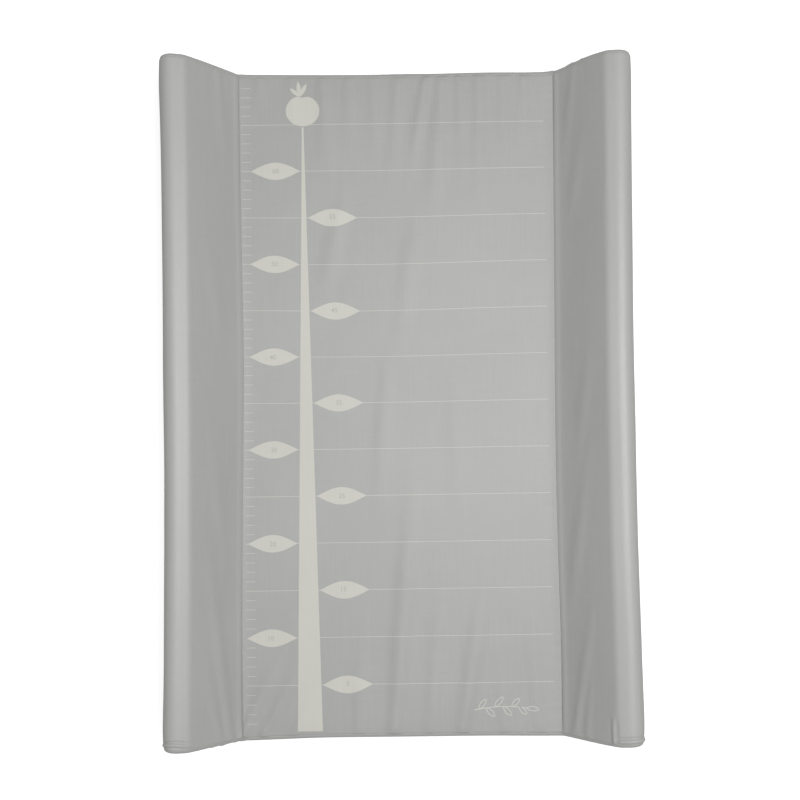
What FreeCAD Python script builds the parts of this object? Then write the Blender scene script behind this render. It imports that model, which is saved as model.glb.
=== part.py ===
"""Baby changing pad: a foam core in a sewn cover, with a zip in the head end wall.

Millimetres. +X to the right, +Y to the head end, +Z up. The origin is on the
ground under the middle of the pad.
"""

import FreeCAD, Part
import math
import os

from FreeCAD import Vector

# ---- driving dimensions ----
LENGTH = 712.0            # foot end wall to head end wall
WIDTH = 488.0             # outer wall to outer wall
HEIGHT = 100.0            # ground to the crowns of the bolsters
PANEL_HEIGHT = 40.0       # ground to the flat panel
CREASE_X = 167.0          # centre line to the crease where panel and bolster meet
CROWN_INNER_X = 216.0     # where the inner slope would meet the crown's level
INNER_CORNER_R = 9.0      # slope to crown
OUTER_CORNER_R = 12.0     # crown to outer wall

SKIN = 1.0                # cover fabric with its lining
FIT_GAP = 0.2             # foam to cover
GLUE_LINE = 0.2           # foam slab to foam wedge

# ---- zip, in a shallow channel across the head end wall ----
ZIP_Z = 21.0              # centre line of the chain above the ground
CHANNEL_HALF_HEIGHT = 10.5
CHANNEL_HALF_WIDTH = 214.0
CHANNEL_DEPTH = 6.5       # wall face to tape face
FOAM_RELIEF = 4.0         # more room in the foam behind the tapes
TAPE_THICKNESS = 0.5
COIL_THICKNESS = 1.6
COIL_WIDTH = 1.6
COIL_GAP = 1.4            # between the two coils, for the slider's divider
CHAIN_CLOSED_X = -210.0   # the end where the slider rests
CHAIN_OPEN_X = 190.0
STOP_INSET = 1.6          # chain end to the middle of a stop
STOP_THICKNESS = 0.7

SLIDER_REST_X = -200.0    # closed
SLIDER_LENGTH = 10.0
SLIDER_WIDTH = 9.0
SLIDER_PLATE = 1.1
SLIDER_CLEARANCE = 0.4    # plates to coils and tapes
DIVIDER_WIDTH = 0.7
DIVIDER_LENGTH = 2.5

BRIDGE_SPAN = 8.0
BRIDGE_WIDTH = 1.6
BRIDGE_BAR = 0.8
BRIDGE_ROOM = 1.9         # under the bridge

PULL_LENGTH = 27.0
PULL_WIDTH = 7.0
PULL_THICKNESS = 1.1
PULL_EYE_LENGTH = 5.4     # from the crossbar's axis to the solid tab
PULL_ARM = 1.4
CROSSBAR_R = 0.5

LABEL_WIDTH = 32.0
LABEL_HEIGHT = 14.0
LABEL_THICKNESS = 0.4
LABEL_X = 202.0

# ---- places that follow ----
WALL_Y = LENGTH / 2
INNER_Y = WALL_Y - SKIN
TAPE_Y = WALL_Y - CHANNEL_DEPTH           # outer face of the tapes
CHANNEL_BOTTOM_Z = ZIP_Z - CHANNEL_HALF_HEIGHT
CHANNEL_TOP_Z = ZIP_Z + CHANNEL_HALF_HEIGHT
COIL_Y = TAPE_Y + COIL_THICKNESS          # outer face of the coils
LOWER_PLATE_Y = TAPE_Y - TAPE_THICKNESS - SLIDER_CLEARANCE - SLIDER_PLATE
UPPER_PLATE_Y = COIL_Y + SLIDER_CLEARANCE
PLATE_FACE_Y = UPPER_PLATE_Y + SLIDER_PLATE
CROSSBAR_Y = PLATE_FACE_Y + 0.4 + CROSSBAR_R


def box(x0, x1, y0, y1, z0, z1):
    return Part.makeBox(x1 - x0, y1 - y0, z1 - z0, Vector(x0, y0, z0))


def tangent_arc(before, corner, after, radius):
    """The arc of the given radius that rounds a corner of an outline."""
    to_before = (before - corner).normalize()
    to_after = (after - corner).normalize()
    half = to_before.getAngle(to_after) / 2
    run = radius / math.tan(half)
    middle = (to_before + to_after).normalize()
    centre = corner + middle * (radius / math.sin(half))
    return corner + to_before * run, centre - middle * radius, corner + to_after * run


def cross_section():
    """The pad's outline across X and Z: flat panel, two bolsters, flat base."""
    half = WIDTH / 2
    crease = Vector(CREASE_X, 0, PANEL_HEIGHT)
    inner = Vector(CROWN_INNER_X, 0, HEIGHT)
    outer = Vector(half, 0, HEIGHT)
    foot = Vector(half, 0, 0)
    slope_end, inner_mid, crown_start = tangent_arc(crease, inner, outer, INNER_CORNER_R)
    crown_end, outer_mid, wall_top = tangent_arc(inner, outer, foot, OUTER_CORNER_R)
    right = [
        Part.LineSegment(crease, slope_end),
        Part.Arc(slope_end, inner_mid, crown_start),
        Part.LineSegment(crown_start, crown_end),
        Part.Arc(crown_end, outer_mid, wall_top),
        Part.LineSegment(wall_top, foot),
    ]
    right_wire = Part.Wire([piece.toShape() for piece in right])
    left_wire = right_wire.mirror(Vector(0, 0, 0), Vector(1, 0, 0))
    panel = Part.makeLine(Vector(-CREASE_X, 0, PANEL_HEIGHT), crease)
    base = Part.makeLine(Vector(-half, 0, 0), foot)
    edges = left_wire.Edges + [panel] + right_wire.Edges + [base]
    return Part.Face(Part.Wire(Part.__sortEdges__(edges)))


def prism(face, y0, y1):
    """A cross-section face carried from y0 to y1."""
    placed = face.copy()
    placed.translate(Vector(0, y0, 0))
    return placed.extrude(Vector(0, y1 - y0, 0))


OUTLINE = cross_section()
INSIDE = OUTLINE.makeOffset2D(-SKIN)
CORE = OUTLINE.makeOffset2D(-SKIN - FIT_GAP)
CORE_END_Y = INNER_Y - FIT_GAP
SLAB_TOP = PANEL_HEIGHT - SKIN - FIT_GAP


def zip_channel(depth, margin=0.0):
    """The space of the zip's channel, from the head wall's face inwards."""
    return box(
        -CHANNEL_HALF_WIDTH - margin, CHANNEL_HALF_WIDTH + margin,
        WALL_Y - depth, WALL_Y + 1,
        CHANNEL_BOTTOM_Z - margin, CHANNEL_TOP_Z + margin,
    )


def foam_base_slab():
    core = prism(CORE, -CORE_END_Y, CORE_END_Y)
    slab = core.common(box(-WIDTH, WIDTH, -LENGTH, LENGTH, 0, SLAB_TOP))
    return slab.cut(zip_channel(CHANNEL_DEPTH + FOAM_RELIEF, SKIN + FIT_GAP))


def foam_wedge(side):
    core = prism(CORE, -CORE_END_Y, CORE_END_Y)
    above = box(0, WIDTH, -LENGTH, LENGTH, SLAB_TOP + GLUE_LINE, HEIGHT)
    wedge = core.common(above)
    return wedge if side > 0 else wedge.mirror(Vector(0, 0, 0), Vector(1, 0, 0))


def cover_shell():
    """The tube of fabric round the core, without its ends and its base."""
    tube = prism(OUTLINE.cut(INSIDE), -INNER_Y, INNER_Y)
    return tube.cut(box(-WIDTH, WIDTH, -LENGTH, LENGTH, -1, SKIN))


def cover_top_panel():
    middle = box(-CREASE_X, CREASE_X, -LENGTH, LENGTH, SKIN, HEIGHT)
    return cover_shell().common(middle)


def cover_bolster_panel(side):
    right = cover_shell().common(box(CREASE_X, WIDTH, -LENGTH, LENGTH, SKIN, HEIGHT))
    return right if side > 0 else right.mirror(Vector(0, 0, 0), Vector(1, 0, 0))


def cover_base_panel():
    return box(-WIDTH / 2, WIDTH / 2, -WALL_Y, WALL_Y, 0, SKIN)


def end_wall(y0, y1):
    wall = prism(OUTLINE, y0, y1)
    return wall.cut(box(-WIDTH, WIDTH, -LENGTH, LENGTH, -1, SKIN))


def cover_foot_end_panel():
    return end_wall(-WALL_Y, -INNER_Y)


def channel_lips():
    """The fabric turned in round the zip's channel, back to the tapes."""
    frame = zip_channel(CHANNEL_DEPTH, SKIN).cut(zip_channel(CHANNEL_DEPTH + 1))
    return frame.cut(box(-WIDTH, WIDTH, INNER_Y, WALL_Y + 2, 0, HEIGHT))


def cover_head_end_panel():
    wall = end_wall(INNER_Y, WALL_Y).cut(zip_channel(CHANNEL_DEPTH))
    whole = wall.fuse(channel_lips()).removeSplitter()
    return whole.cut(box(-WIDTH, WIDTH, 0, LENGTH, 0, CHANNEL_BOTTOM_Z))


def cover_head_lower_strip():
    wall = end_wall(INNER_Y, WALL_Y)
    whole = wall.fuse(channel_lips()).removeSplitter()
    return whole.common(box(-WIDTH, WIDTH, 0, LENGTH, SKIN, CHANNEL_BOTTOM_Z))


def zip_tape(side):
    """One woven tape, from the channel's lip to just short of the centre line."""
    near = ZIP_Z + side * COIL_GAP / 2
    far = ZIP_Z + side * CHANNEL_HALF_HEIGHT
    return box(-CHANNEL_HALF_WIDTH, CHANNEL_HALF_WIDTH,
               TAPE_Y - TAPE_THICKNESS, TAPE_Y, min(near, far), max(near, far))


def zip_coil(side):
    """One half of the chain, sewn on the face of its tape."""
    near = ZIP_Z + side * COIL_GAP / 2
    far = near + side * COIL_WIDTH
    coil = box(CHAIN_CLOSED_X, CHAIN_OPEN_X,
               TAPE_Y, COIL_Y, min(near, far), max(near, far))
    long_edges = [e for e in coil.Edges
                  if abs(e.Length - (CHAIN_OPEN_X - CHAIN_CLOSED_X)) < 0.01
                  and e.CenterOfMass.y > COIL_Y - 0.01]
    return coil.makeFillet(COIL_WIDTH * 0.3, long_edges)


def stop(x, z, half_width, half_height):
    """A crimped metal stop over the end of the chain."""
    face_y = COIL_Y + STOP_THICKNESS
    body = box(x - half_width, x + half_width, COIL_Y, face_y, z - half_height, z + half_height)
    edges = [e for e in body.Edges if e.CenterOfMass.y > face_y - 0.01]
    return body.makeFillet(0.3, edges)


def zip_top_stops():
    """One stop at the closed end of each coil."""
    offset = (COIL_GAP + COIL_WIDTH) / 2 + 0.1
    x = CHAIN_CLOSED_X + STOP_INSET
    return Part.makeCompound([stop(x, ZIP_Z + side * offset, 1.2, 1.4) for side in (1, -1)])


def zip_bottom_stop():
    """One stop across both coils at the open end."""
    return stop(CHAIN_OPEN_X - STOP_INSET, ZIP_Z, 1.6, 3.0)


def slider_plate(y0, y1, taper):
    """A shield-shaped plate, wide at the front and narrower at the back."""
    x = SLIDER_REST_X
    front, back = x - SLIDER_LENGTH / 2, x + SLIDER_LENGTH / 2
    wide, narrow = SLIDER_WIDTH / 2, SLIDER_WIDTH / 2 * taper
    outline = [
        (front, -wide * 0.6), (front + 2, -wide), (back - 1.5, -narrow), (back, -narrow * 0.7),
        (back, narrow * 0.7), (back - 1.5, narrow), (front + 2, wide), (front, wide * 0.6),
    ]
    points = [Vector(px, y0, ZIP_Z + pz) for px, pz in outline]
    face = Part.Face(Part.makePolygon(points + points[:1]))
    return face.extrude(Vector(0, y1 - y0, 0))


def zip_slider_body():
    lower = slider_plate(LOWER_PLATE_Y, LOWER_PLATE_Y + SLIDER_PLATE, 0.78)
    upper = slider_plate(UPPER_PLATE_Y, PLATE_FACE_Y, 0.78)
    front = SLIDER_REST_X - SLIDER_LENGTH / 2
    divider = box(front, front + DIVIDER_LENGTH,
                  LOWER_PLATE_Y + SLIDER_PLATE / 2, UPPER_PLATE_Y + SLIDER_PLATE / 2,
                  ZIP_Z - DIVIDER_WIDTH / 2, ZIP_Z + DIVIDER_WIDTH / 2)
    rims = []
    rim_reach = TAPE_Y + SLIDER_CLEARANCE
    for side in (-1, 1):
        near = ZIP_Z + side * SLIDER_WIDTH / 2 * 0.74
        far = near - side * 0.5
        rims.append(box(SLIDER_REST_X - 2.8, SLIDER_REST_X + 3.2,
                        rim_reach, UPPER_PLATE_Y + SLIDER_PLATE / 2,
                        min(near, far), max(near, far)))
    body = lower.fuse([upper, divider] + rims)
    return body.removeSplitter()


def zip_slider_bridge():
    """The arched bar over the slider that the pull hangs on."""
    x, half = SLIDER_REST_X, BRIDGE_SPAN / 2
    top = PLATE_FACE_Y + BRIDGE_ROOM + BRIDGE_BAR
    outer = box(x - half, x + half, PLATE_FACE_Y, top,
                ZIP_Z - BRIDGE_WIDTH / 2, ZIP_Z + BRIDGE_WIDTH / 2)
    room = box(x - half + BRIDGE_BAR, x + half - BRIDGE_BAR, PLATE_FACE_Y - 1,
               top - BRIDGE_BAR, ZIP_Z - BRIDGE_WIDTH, ZIP_Z + BRIDGE_WIDTH)
    arch = outer.cut(room)
    corners = [e for e in arch.Edges
               if abs(e.Length - BRIDGE_WIDTH) < 0.01
               and e.CenterOfMass.y > top - 0.01]
    return arch.makeFillet(0.6, corners)


def zip_pull():
    """A flat tab with an eye; the eye's crossbar turns under the bridge."""
    x = SLIDER_REST_X
    y0 = CROSSBAR_Y - PULL_THICKNESS / 2 + 0.15
    y1 = y0 + PULL_THICKNESS - 0.15
    end = x + PULL_LENGTH - PULL_WIDTH / 2
    half = PULL_WIDTH / 2
    tab = box(x, end, y0, y1, ZIP_Z - half, ZIP_Z + half)
    tip = Part.makeCylinder(half, y1 - y0, Vector(end, y0, ZIP_Z), Vector(0, 1, 0))
    eye = box(x - 1, x + PULL_EYE_LENGTH, y0 - 1, y1 + 1,
              ZIP_Z - half + PULL_ARM, ZIP_Z + half - PULL_ARM)
    hole = Part.makeCylinder(1.6, 4, Vector(end, y0 - 1, ZIP_Z), Vector(0, 1, 0))
    crossbar = Part.makeCylinder(CROSSBAR_R, PULL_WIDTH,
                                 Vector(x, CROSSBAR_Y, ZIP_Z - half), Vector(0, 0, 1))
    return tab.fuse(tip).cut(eye).cut(hole).fuse(crossbar).removeSplitter()


def care_label():
    """A small woven tab that lies on the wall above the zip."""
    z0 = CHANNEL_TOP_Z + SKIN
    return box(LABEL_X - LABEL_WIDTH / 2, LABEL_X + LABEL_WIDTH / 2,
               WALL_Y, WALL_Y + LABEL_THICKNESS, z0, z0 + LABEL_HEIGHT)


SUB_PARTS = {
    "foam_base_slab": foam_base_slab(),
    "foam_left_wedge": foam_wedge(-1),
    "foam_right_wedge": foam_wedge(1),
    "cover_top_panel": cover_top_panel(),
    "cover_left_bolster_panel": cover_bolster_panel(-1),
    "cover_right_bolster_panel": cover_bolster_panel(1),
    "cover_base_panel": cover_base_panel(),
    "cover_foot_end_panel": cover_foot_end_panel(),
    "cover_head_end_panel": cover_head_end_panel(),
    "cover_head_lower_strip": cover_head_lower_strip(),
    "zip_upper_tape": zip_tape(1),
    "zip_lower_tape": zip_tape(-1),
    "zip_upper_coil": zip_coil(1),
    "zip_lower_coil": zip_coil(-1),
    "zip_top_stops": zip_top_stops(),
    "zip_bottom_stop": zip_bottom_stop(),
    "zip_slider_body": zip_slider_body(),
    "zip_slider_bridge": zip_slider_bridge(),
    "zip_pull": zip_pull(),
    "care_label": care_label(),
}

os.makedirs("parts", exist_ok=True)
for node, shape in SUB_PARTS.items():
    shape.exportStep(f"parts/{node}.step")
    span = shape.BoundBox
    print(f"{node}: {len(shape.Solids)} solid, valid {shape.isValid()}, "
          f"x {span.XMin:.1f} to {span.XMax:.1f}, y {span.YMin:.1f} to {span.YMax:.1f}, "
          f"z {span.ZMin:.1f} to {span.ZMax:.1f}, volume {shape.Volume:.0f}")
print(f"the pull turns about Z through x {SLIDER_REST_X}, y {CROSSBAR_Y:.2f}, z {ZIP_Z}")
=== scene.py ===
# %% [markdown]
# # A changing pad with two raised sides
# The real thing is a block of foam in a sewn cover. The cover is grey coated cotton, cut in flat
# panels: one printed panel to lie on, one long panel over each bolster, two end walls and a base.
# A zip in the head end wall closes it. This lesson makes the cover from its cutting plan, lets a
# cloth simulation settle it on the foam, and then adds seams, print, zip and finishes.
# Every length is in metres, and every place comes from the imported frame.

# %% Load the frame
import math
import bpy
import bmesh
import numpy as np
from mathutils import Matrix, Vector
from mathutils.bvhtree import BVHTree
from mathutils.geometry import delaunay_2d_cdt


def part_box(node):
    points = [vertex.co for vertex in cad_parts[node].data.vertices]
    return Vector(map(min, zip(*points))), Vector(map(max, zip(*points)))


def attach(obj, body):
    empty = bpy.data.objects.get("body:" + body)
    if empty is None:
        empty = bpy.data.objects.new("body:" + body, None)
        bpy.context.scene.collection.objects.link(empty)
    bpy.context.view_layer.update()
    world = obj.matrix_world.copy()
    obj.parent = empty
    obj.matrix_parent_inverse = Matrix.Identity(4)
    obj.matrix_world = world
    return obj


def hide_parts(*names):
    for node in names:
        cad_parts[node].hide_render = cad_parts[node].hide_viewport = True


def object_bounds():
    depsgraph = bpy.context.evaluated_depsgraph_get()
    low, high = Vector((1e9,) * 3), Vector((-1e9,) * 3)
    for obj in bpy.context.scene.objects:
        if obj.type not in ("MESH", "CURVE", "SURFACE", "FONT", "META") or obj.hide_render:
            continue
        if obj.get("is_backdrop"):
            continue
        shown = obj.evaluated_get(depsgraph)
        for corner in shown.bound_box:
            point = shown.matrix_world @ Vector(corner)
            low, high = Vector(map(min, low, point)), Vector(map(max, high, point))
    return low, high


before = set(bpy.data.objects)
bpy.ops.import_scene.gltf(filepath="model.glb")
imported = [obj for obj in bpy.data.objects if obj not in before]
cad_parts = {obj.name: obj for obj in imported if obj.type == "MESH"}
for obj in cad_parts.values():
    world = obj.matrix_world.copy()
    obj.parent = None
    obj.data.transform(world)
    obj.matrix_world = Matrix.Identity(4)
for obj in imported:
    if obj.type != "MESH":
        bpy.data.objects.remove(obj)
cad_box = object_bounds()
MM = 0.001

crease_x, panel_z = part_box("cover_top_panel")[1][0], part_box("cover_top_panel")[1][2]
half_width, crown_z = (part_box("cover_right_bolster_panel")[1][k] for k in (0, 2))
wall_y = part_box("cover_head_end_panel")[1][1]
print(f"panel {2 * crease_x:.3f} wide at {panel_z:.3f}, bolsters to {crown_z:.3f}, ends at {wall_y:.3f}")

# %% [markdown]
# ## The camera comes first
# The pad is looked at almost straight down, from a little over a metre, with the camera a touch
# nearer the foot end and turned by less than a degree. A camera matrix is built from three
# directions, because "look at" helpers lose their sense of up when they look straight down.

# %% Camera
CAMERA_PLACE = Vector((0.0, -0.040, 1.276))
CAMERA_TARGET = Vector((0.0014, 0.0009, panel_z))
CAMERA_ROLL = math.radians(0.86)

camera_data = bpy.data.cameras.new("camera")
camera_data.lens = 52
camera = bpy.data.objects.new("camera", camera_data)
bpy.context.collection.objects.link(camera)
backwards = (CAMERA_PLACE - CAMERA_TARGET).normalized()
rightwards = Vector((math.cos(CAMERA_ROLL), -math.sin(CAMERA_ROLL), 0)).cross(backwards)
rightwards = backwards.cross(rightwards).normalized()
upwards = backwards.cross(rightwards)
camera.matrix_world = Matrix.Translation(CAMERA_PLACE) @ Matrix(
    (rightwards, upwards, backwards)).transposed().to_4x4()
bpy.context.scene.camera = camera
print("camera looks along", tuple(round(v, 3) for v in -backwards))

# %% [markdown]
# ## Small helpers for cloth and thread
# Cloth that is cut from a plan is easiest to build as a grid: rows run along the pad, columns run
# across it. The grid keeps its flat cutting coordinates as a UV map, in metres, so weave and
# streaks follow the cloth however it is folded.

# %% Helpers
CUT_MAP = "cut"


def smooth_step(low, high, value):
    t = np.clip((value - low) / (high - low), 0, 1)
    return t * t * (3 - 2 * t)


def new_piece(name, points, faces, cut=None):
    """A smooth-shaded mesh object; cut holds flat cloth coordinates, one per point."""
    mesh = bpy.data.meshes.new(name)
    mesh.from_pydata([tuple(p) for p in points], [], [tuple(int(i) for i in f) for f in faces])
    mesh.polygons.foreach_set("use_smooth", [True] * len(mesh.polygons))
    if cut is not None:
        corners = np.empty(len(mesh.loops), int)
        mesh.loops.foreach_get("vertex_index", corners)
        layer = mesh.uv_layers.new(name=CUT_MAP)
        layer.data.foreach_set("uv", np.asarray(cut, float)[corners, :2].ravel())
    piece = bpy.data.objects.new(name, mesh)
    bpy.context.collection.objects.link(piece)
    return piece


def grid_faces(rows, columns, closed=False):
    index = np.arange(rows * columns).reshape(rows, columns)
    if closed:
        index = np.hstack([index, index[:, :1]])
    quads = [index[:-1, :-1], index[:-1, 1:], index[1:, 1:], index[1:, :-1]]
    return np.stack(quads, -1).reshape(-1, 4)


def cloth_grid(name, points, cut):
    rows, columns = points.shape[:2]
    return new_piece(name, points.reshape(-1, 3), grid_faces(rows, columns), cut.reshape(-1, 2))


def tube(path, radius, sides=6):
    """Points and faces of a round thread along a path, closed at both ends."""
    path = np.asarray(path, float)
    along = np.gradient(path, axis=0)
    along /= np.linalg.norm(along, axis=1)[:, None]
    hint = np.array([0.0, 0.3, 1.0]) if abs(along[0][2]) < 0.8 else np.array([1.0, 0.3, 0.0])
    side = np.cross(along, hint)
    side /= np.linalg.norm(side, axis=1)[:, None]
    up = np.cross(side, along)
    turn = np.linspace(0, 2 * math.pi, sides, endpoint=False)
    ring = side[:, None] * np.cos(turn)[:, None] + up[:, None] * np.sin(turn)[:, None]
    points = (path[:, None] + ring * radius).reshape(-1, 3)
    faces = [tuple(f) for f in grid_faces(len(path), sides, closed=True)]
    last = len(points) - sides
    return points, faces + [tuple(range(sides))[::-1], tuple(range(last, last + sides))]


def joined(name, parts, cut=False):
    """One piece from several (points, faces) parts."""
    points, faces = [], []
    for part_points, part_faces in parts:
        faces += [tuple(i + len(points) for i in f) for f in part_faces]
        points += [tuple(p) for p in part_points]
    flat = [(p[0], p[1]) for p in points] if cut else None
    return new_piece(name, points, faces, flat)


# %% [markdown]
# ## The outline across the pad
# A cover is as wide as the outline it wraps: up the slope from the crease, over the crown and down
# the outer wall. The corners are foam edges under tight cloth, so they are arcs. The outline is
# sampled finely once, and any length of cloth along it can then be turned into a place.

# %% Outline of one bolster
CROWN_WIDTH = 28 * MM
CROWN_TILT = 4.5 * MM           # the crown is a low dome that falls towards the slope
INNER_CORNER, CROWN_CORNER, OUTER_CORNER = 12 * MM, 20 * MM, 12 * MM
HEM_Z = 3 * MM
OUTLINE_STEP = 0.5 * MM


def rounded_outline(corners, radii, step):
    """Evenly spaced points along straight runs whose corners are rounded by arcs."""
    corners = [Vector(c) for c in corners]
    points = [corners[0]]

    def run_to(end):
        start, count = points[-1], max(1, round((end - points[-1]).length / step))
        points.extend(start.lerp(end, k / count) for k in range(1, count + 1))

    for before, corner, after, radius in zip(corners, corners[1:], corners[2:], radii):
        back, ahead = (before - corner).normalized(), (after - corner).normalized()
        half = back.angle(ahead) / 2
        reach, turn = radius / math.tan(half), math.pi - 2 * half
        centre = corner + (back + ahead).normalized() * (radius / math.sin(half))
        run_to(corner + back * reach)
        u, v = corner + back * reach - centre, corner + ahead * reach - centre
        count = max(2, round(turn * radius / step))
        for k in range(1, count + 1):
            t = k / count
            swung = u * math.sin((1 - t) * turn) + v * math.sin(t * turn)
            points.append(centre + swung / math.sin(turn))
    run_to(corners[-1])
    return np.array([tuple(p) for p in points])


bolster_line = rounded_outline(
    [(crease_x, panel_z), (half_width - CROWN_WIDTH, crown_z - CROWN_TILT),
     (half_width - 0.54 * CROWN_WIDTH, crown_z), (half_width, crown_z), (half_width, HEM_Z)],
    [INNER_CORNER, CROWN_CORNER, OUTER_CORNER], OUTLINE_STEP)
bolster_steps = np.linalg.norm(np.diff(bolster_line, axis=0), axis=1)
bolster_length = np.concatenate([[0], np.cumsum(bolster_steps)])
bolster_tangent = np.gradient(bolster_line, axis=0)
bolster_tangent /= np.linalg.norm(bolster_tangent, axis=1)[:, None]
BOLSTER_CLOTH = bolster_length[-1]
CREASE_LEAN = (0.43, 0.90)      # halfway between the panel's and the slope's outward directions


def across(s):
    """Place (x, z) and outward direction (x, z) at a length s of cloth from the middle of the pad."""
    s = np.asarray(s, float)
    side, reach = np.sign(s), np.abs(s) - crease_x
    on_bolster = reach > 0
    x = np.where(on_bolster, side * np.interp(reach, bolster_length, bolster_line[:, 0]), s)
    z = np.where(on_bolster, np.interp(reach, bolster_length, bolster_line[:, 1]), panel_z)
    nx = np.where(on_bolster, -side * np.interp(reach, bolster_length, bolster_tangent[:, 1]), 0)
    nz = np.where(on_bolster, np.interp(reach, bolster_length, bolster_tangent[:, 0]), 1)
    shared = np.exp(-(reach / (2.5 * MM)) ** 2)
    nx = nx * (1 - shared) - side * CREASE_LEAN[0] * shared
    nz = nz * (1 - shared) + CREASE_LEAN[1] * shared
    return x, z, nx, nz


print(f"each bolster takes {BOLSTER_CLOTH * 1000:.0f} mm of cloth from crease to hem")

# %% [markdown]
# ## Where the cloth is loose
# Cloth over foam is mostly tight. It folds softly where a seam gathers it, and in long slanting
# lines where it is pulled between two corners. Each fold is a low ridge between two points, with a
# width and a height, in cutting coordinates: across the pad and along it, in millimetres.

# %% Soft folds
FOLDS = [
    # gathered into the head end seam
    (-78, 352, -70, 205, 28, 1.0), (-50, 352, -47, 262, 20, 0.8), (-24, 352, -20, 236, 22, 0.9),
    (4, 352, -4, 214, 24, 1.1), (34, 352, 14, 226, 18, 1.8), (52, 352, 34, 150, 28, 1.5),
    (72, 352, 74, 222, 20, 1.3), (92, 352, 88, 160, 28, 1.4), (116, 352, 121, 216, 20, 1.2),
    (139, 352, 134, 236, 24, 1.3), (-112, 352, -108, 288, 20, 0.7), (-146, 352, -140, 296, 18, 0.6),
    # faint drags down the middle
    (-50, 250, -92, 60, 30, 1.0), (26, 230, -6, 10, 32, 1.1), (-8, 80, -28, -160, 28, 1.0),
    (58, 60, 64, -190, 30, 0.8),
    # dragged towards the foot end's left corner
    (-166, -349, -122, -256, 20, 1.9), (-148, -352, -100, -262, 17, 1.6),
    (-118, -352, -78, -286, 18, 1.0),
    # long soft waves at the foot end
    (-10, -352, 20, -30, 34, 2.0), (28, -352, 46, -150, 26, 1.1), (62, -352, 102, -120, 32, 1.9),
    (108, -352, 98, -190, 26, 0.9), (144, -352, 132, -180, 24, 1.0), (-48, -352, -40, -200, 26, 0.9),
    # slanting over the slopes
    (-184, -349, -226, -90, 26, 1.8), (-198, -349, -226, -240, 22, 1.4), (-188, -190, -220, 24, 28, 1.3),
    (-192, 40, -222, 220, 28, 1.2), (-196, 349, -184, 230, 22, 1.0), (176, -250, 222, -10, 26, 1.7),
    (194, -80, 226, 110, 28, 1.3), (184, -349, 218, -190, 20, 1.9), (200, -349, 212, -260, 16, 1.2),
    (186, 180, 214, 310, 26, 1.4), (196, 349, 178, 240, 18, 1.1),
    # across the outer walls
    (-340, 250, -300, 330, 30, 1.8), (-345, -240, -290, -340, 32, 2.0), (-338, -20, -300, 60, 34, 1.5),
    (342, 236, 300, 336, 30, 1.8), (342, -250, 296, -336, 32, 1.8), (336, 70, 302, -10, 34, 1.4),
]


def fold_height(s, y):
    """How far the soft folds lift the cloth, in metres."""
    lift = np.zeros(np.broadcast(s, y).shape)
    for s0, y0, s1, y1, width, height in np.array(FOLDS) * MM:
        ds, dy = s1 - s0, y1 - y0
        t = np.clip(((s - s0) * ds + (y - y0) * dy) / (ds * ds + dy * dy), 0, 1)
        spread = width * (0.6 + 0.4 * np.sin(math.pi * t)) / 2
        away = np.hypot(s - s0 - t * ds, y - y0 - t * dy) / spread
        from_seam = 1.0 if abs(y0) > wall_y - 10 * MM else smooth_step(0, 0.45, t)
        fade = from_seam * smooth_step(0, 0.8, 1 - t)
        lift += height * fade * np.where(away < 1, np.cos(np.clip(away, 0, 1) * math.pi / 2) ** 2, 0)
    return lift


# %% [markdown]
# ## Let the cover settle
# The cover is simulated in one piece, from hem to hem, at ten times its size, because Blender's
# collisions don't work below a millimetre. Its rest lengths come from a shape key that holds a
# little more cloth than the foam needs, so it sags at the walls and keeps its folds. Creases, ends
# and hems are sewn down, which a pin group does. Only the settled offsets are kept: they are
# smoothed, capped, and read again later at any point of the cloth.

# %% Cloth simulation
CELL = 7 * MM
SEAM_ROLL = 6 * MM              # radius of the rolled edge at both ends
SIM_SCALE = 10
SIM_FRAMES = 14
FOAM_GAP = 1 * MM
MOST_MOVE = 4.5 * MM


def even_columns():
    middle = np.linspace(-crease_x, crease_x, round(2 * crease_x / CELL) + 1)
    outer = np.linspace(crease_x, crease_x + BOLSTER_CLOTH, round(BOLSTER_CLOTH / CELL) + 1)
    return np.concatenate([-outer[::-1], middle[1:-1], outer])


sim_s = even_columns()
sim_y = np.linspace(SEAM_ROLL - wall_y, wall_y - SEAM_ROLL, round(2 * wall_y / CELL))
grid_s, grid_y = np.meshgrid(sim_s, sim_y)


def wrapped(lift):
    """The cover's points with a given height over the foam's outline."""
    x, z, nx, nz = across(grid_s)
    return np.stack([x + nx * lift, grid_y, z + nz * lift], -1)


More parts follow.
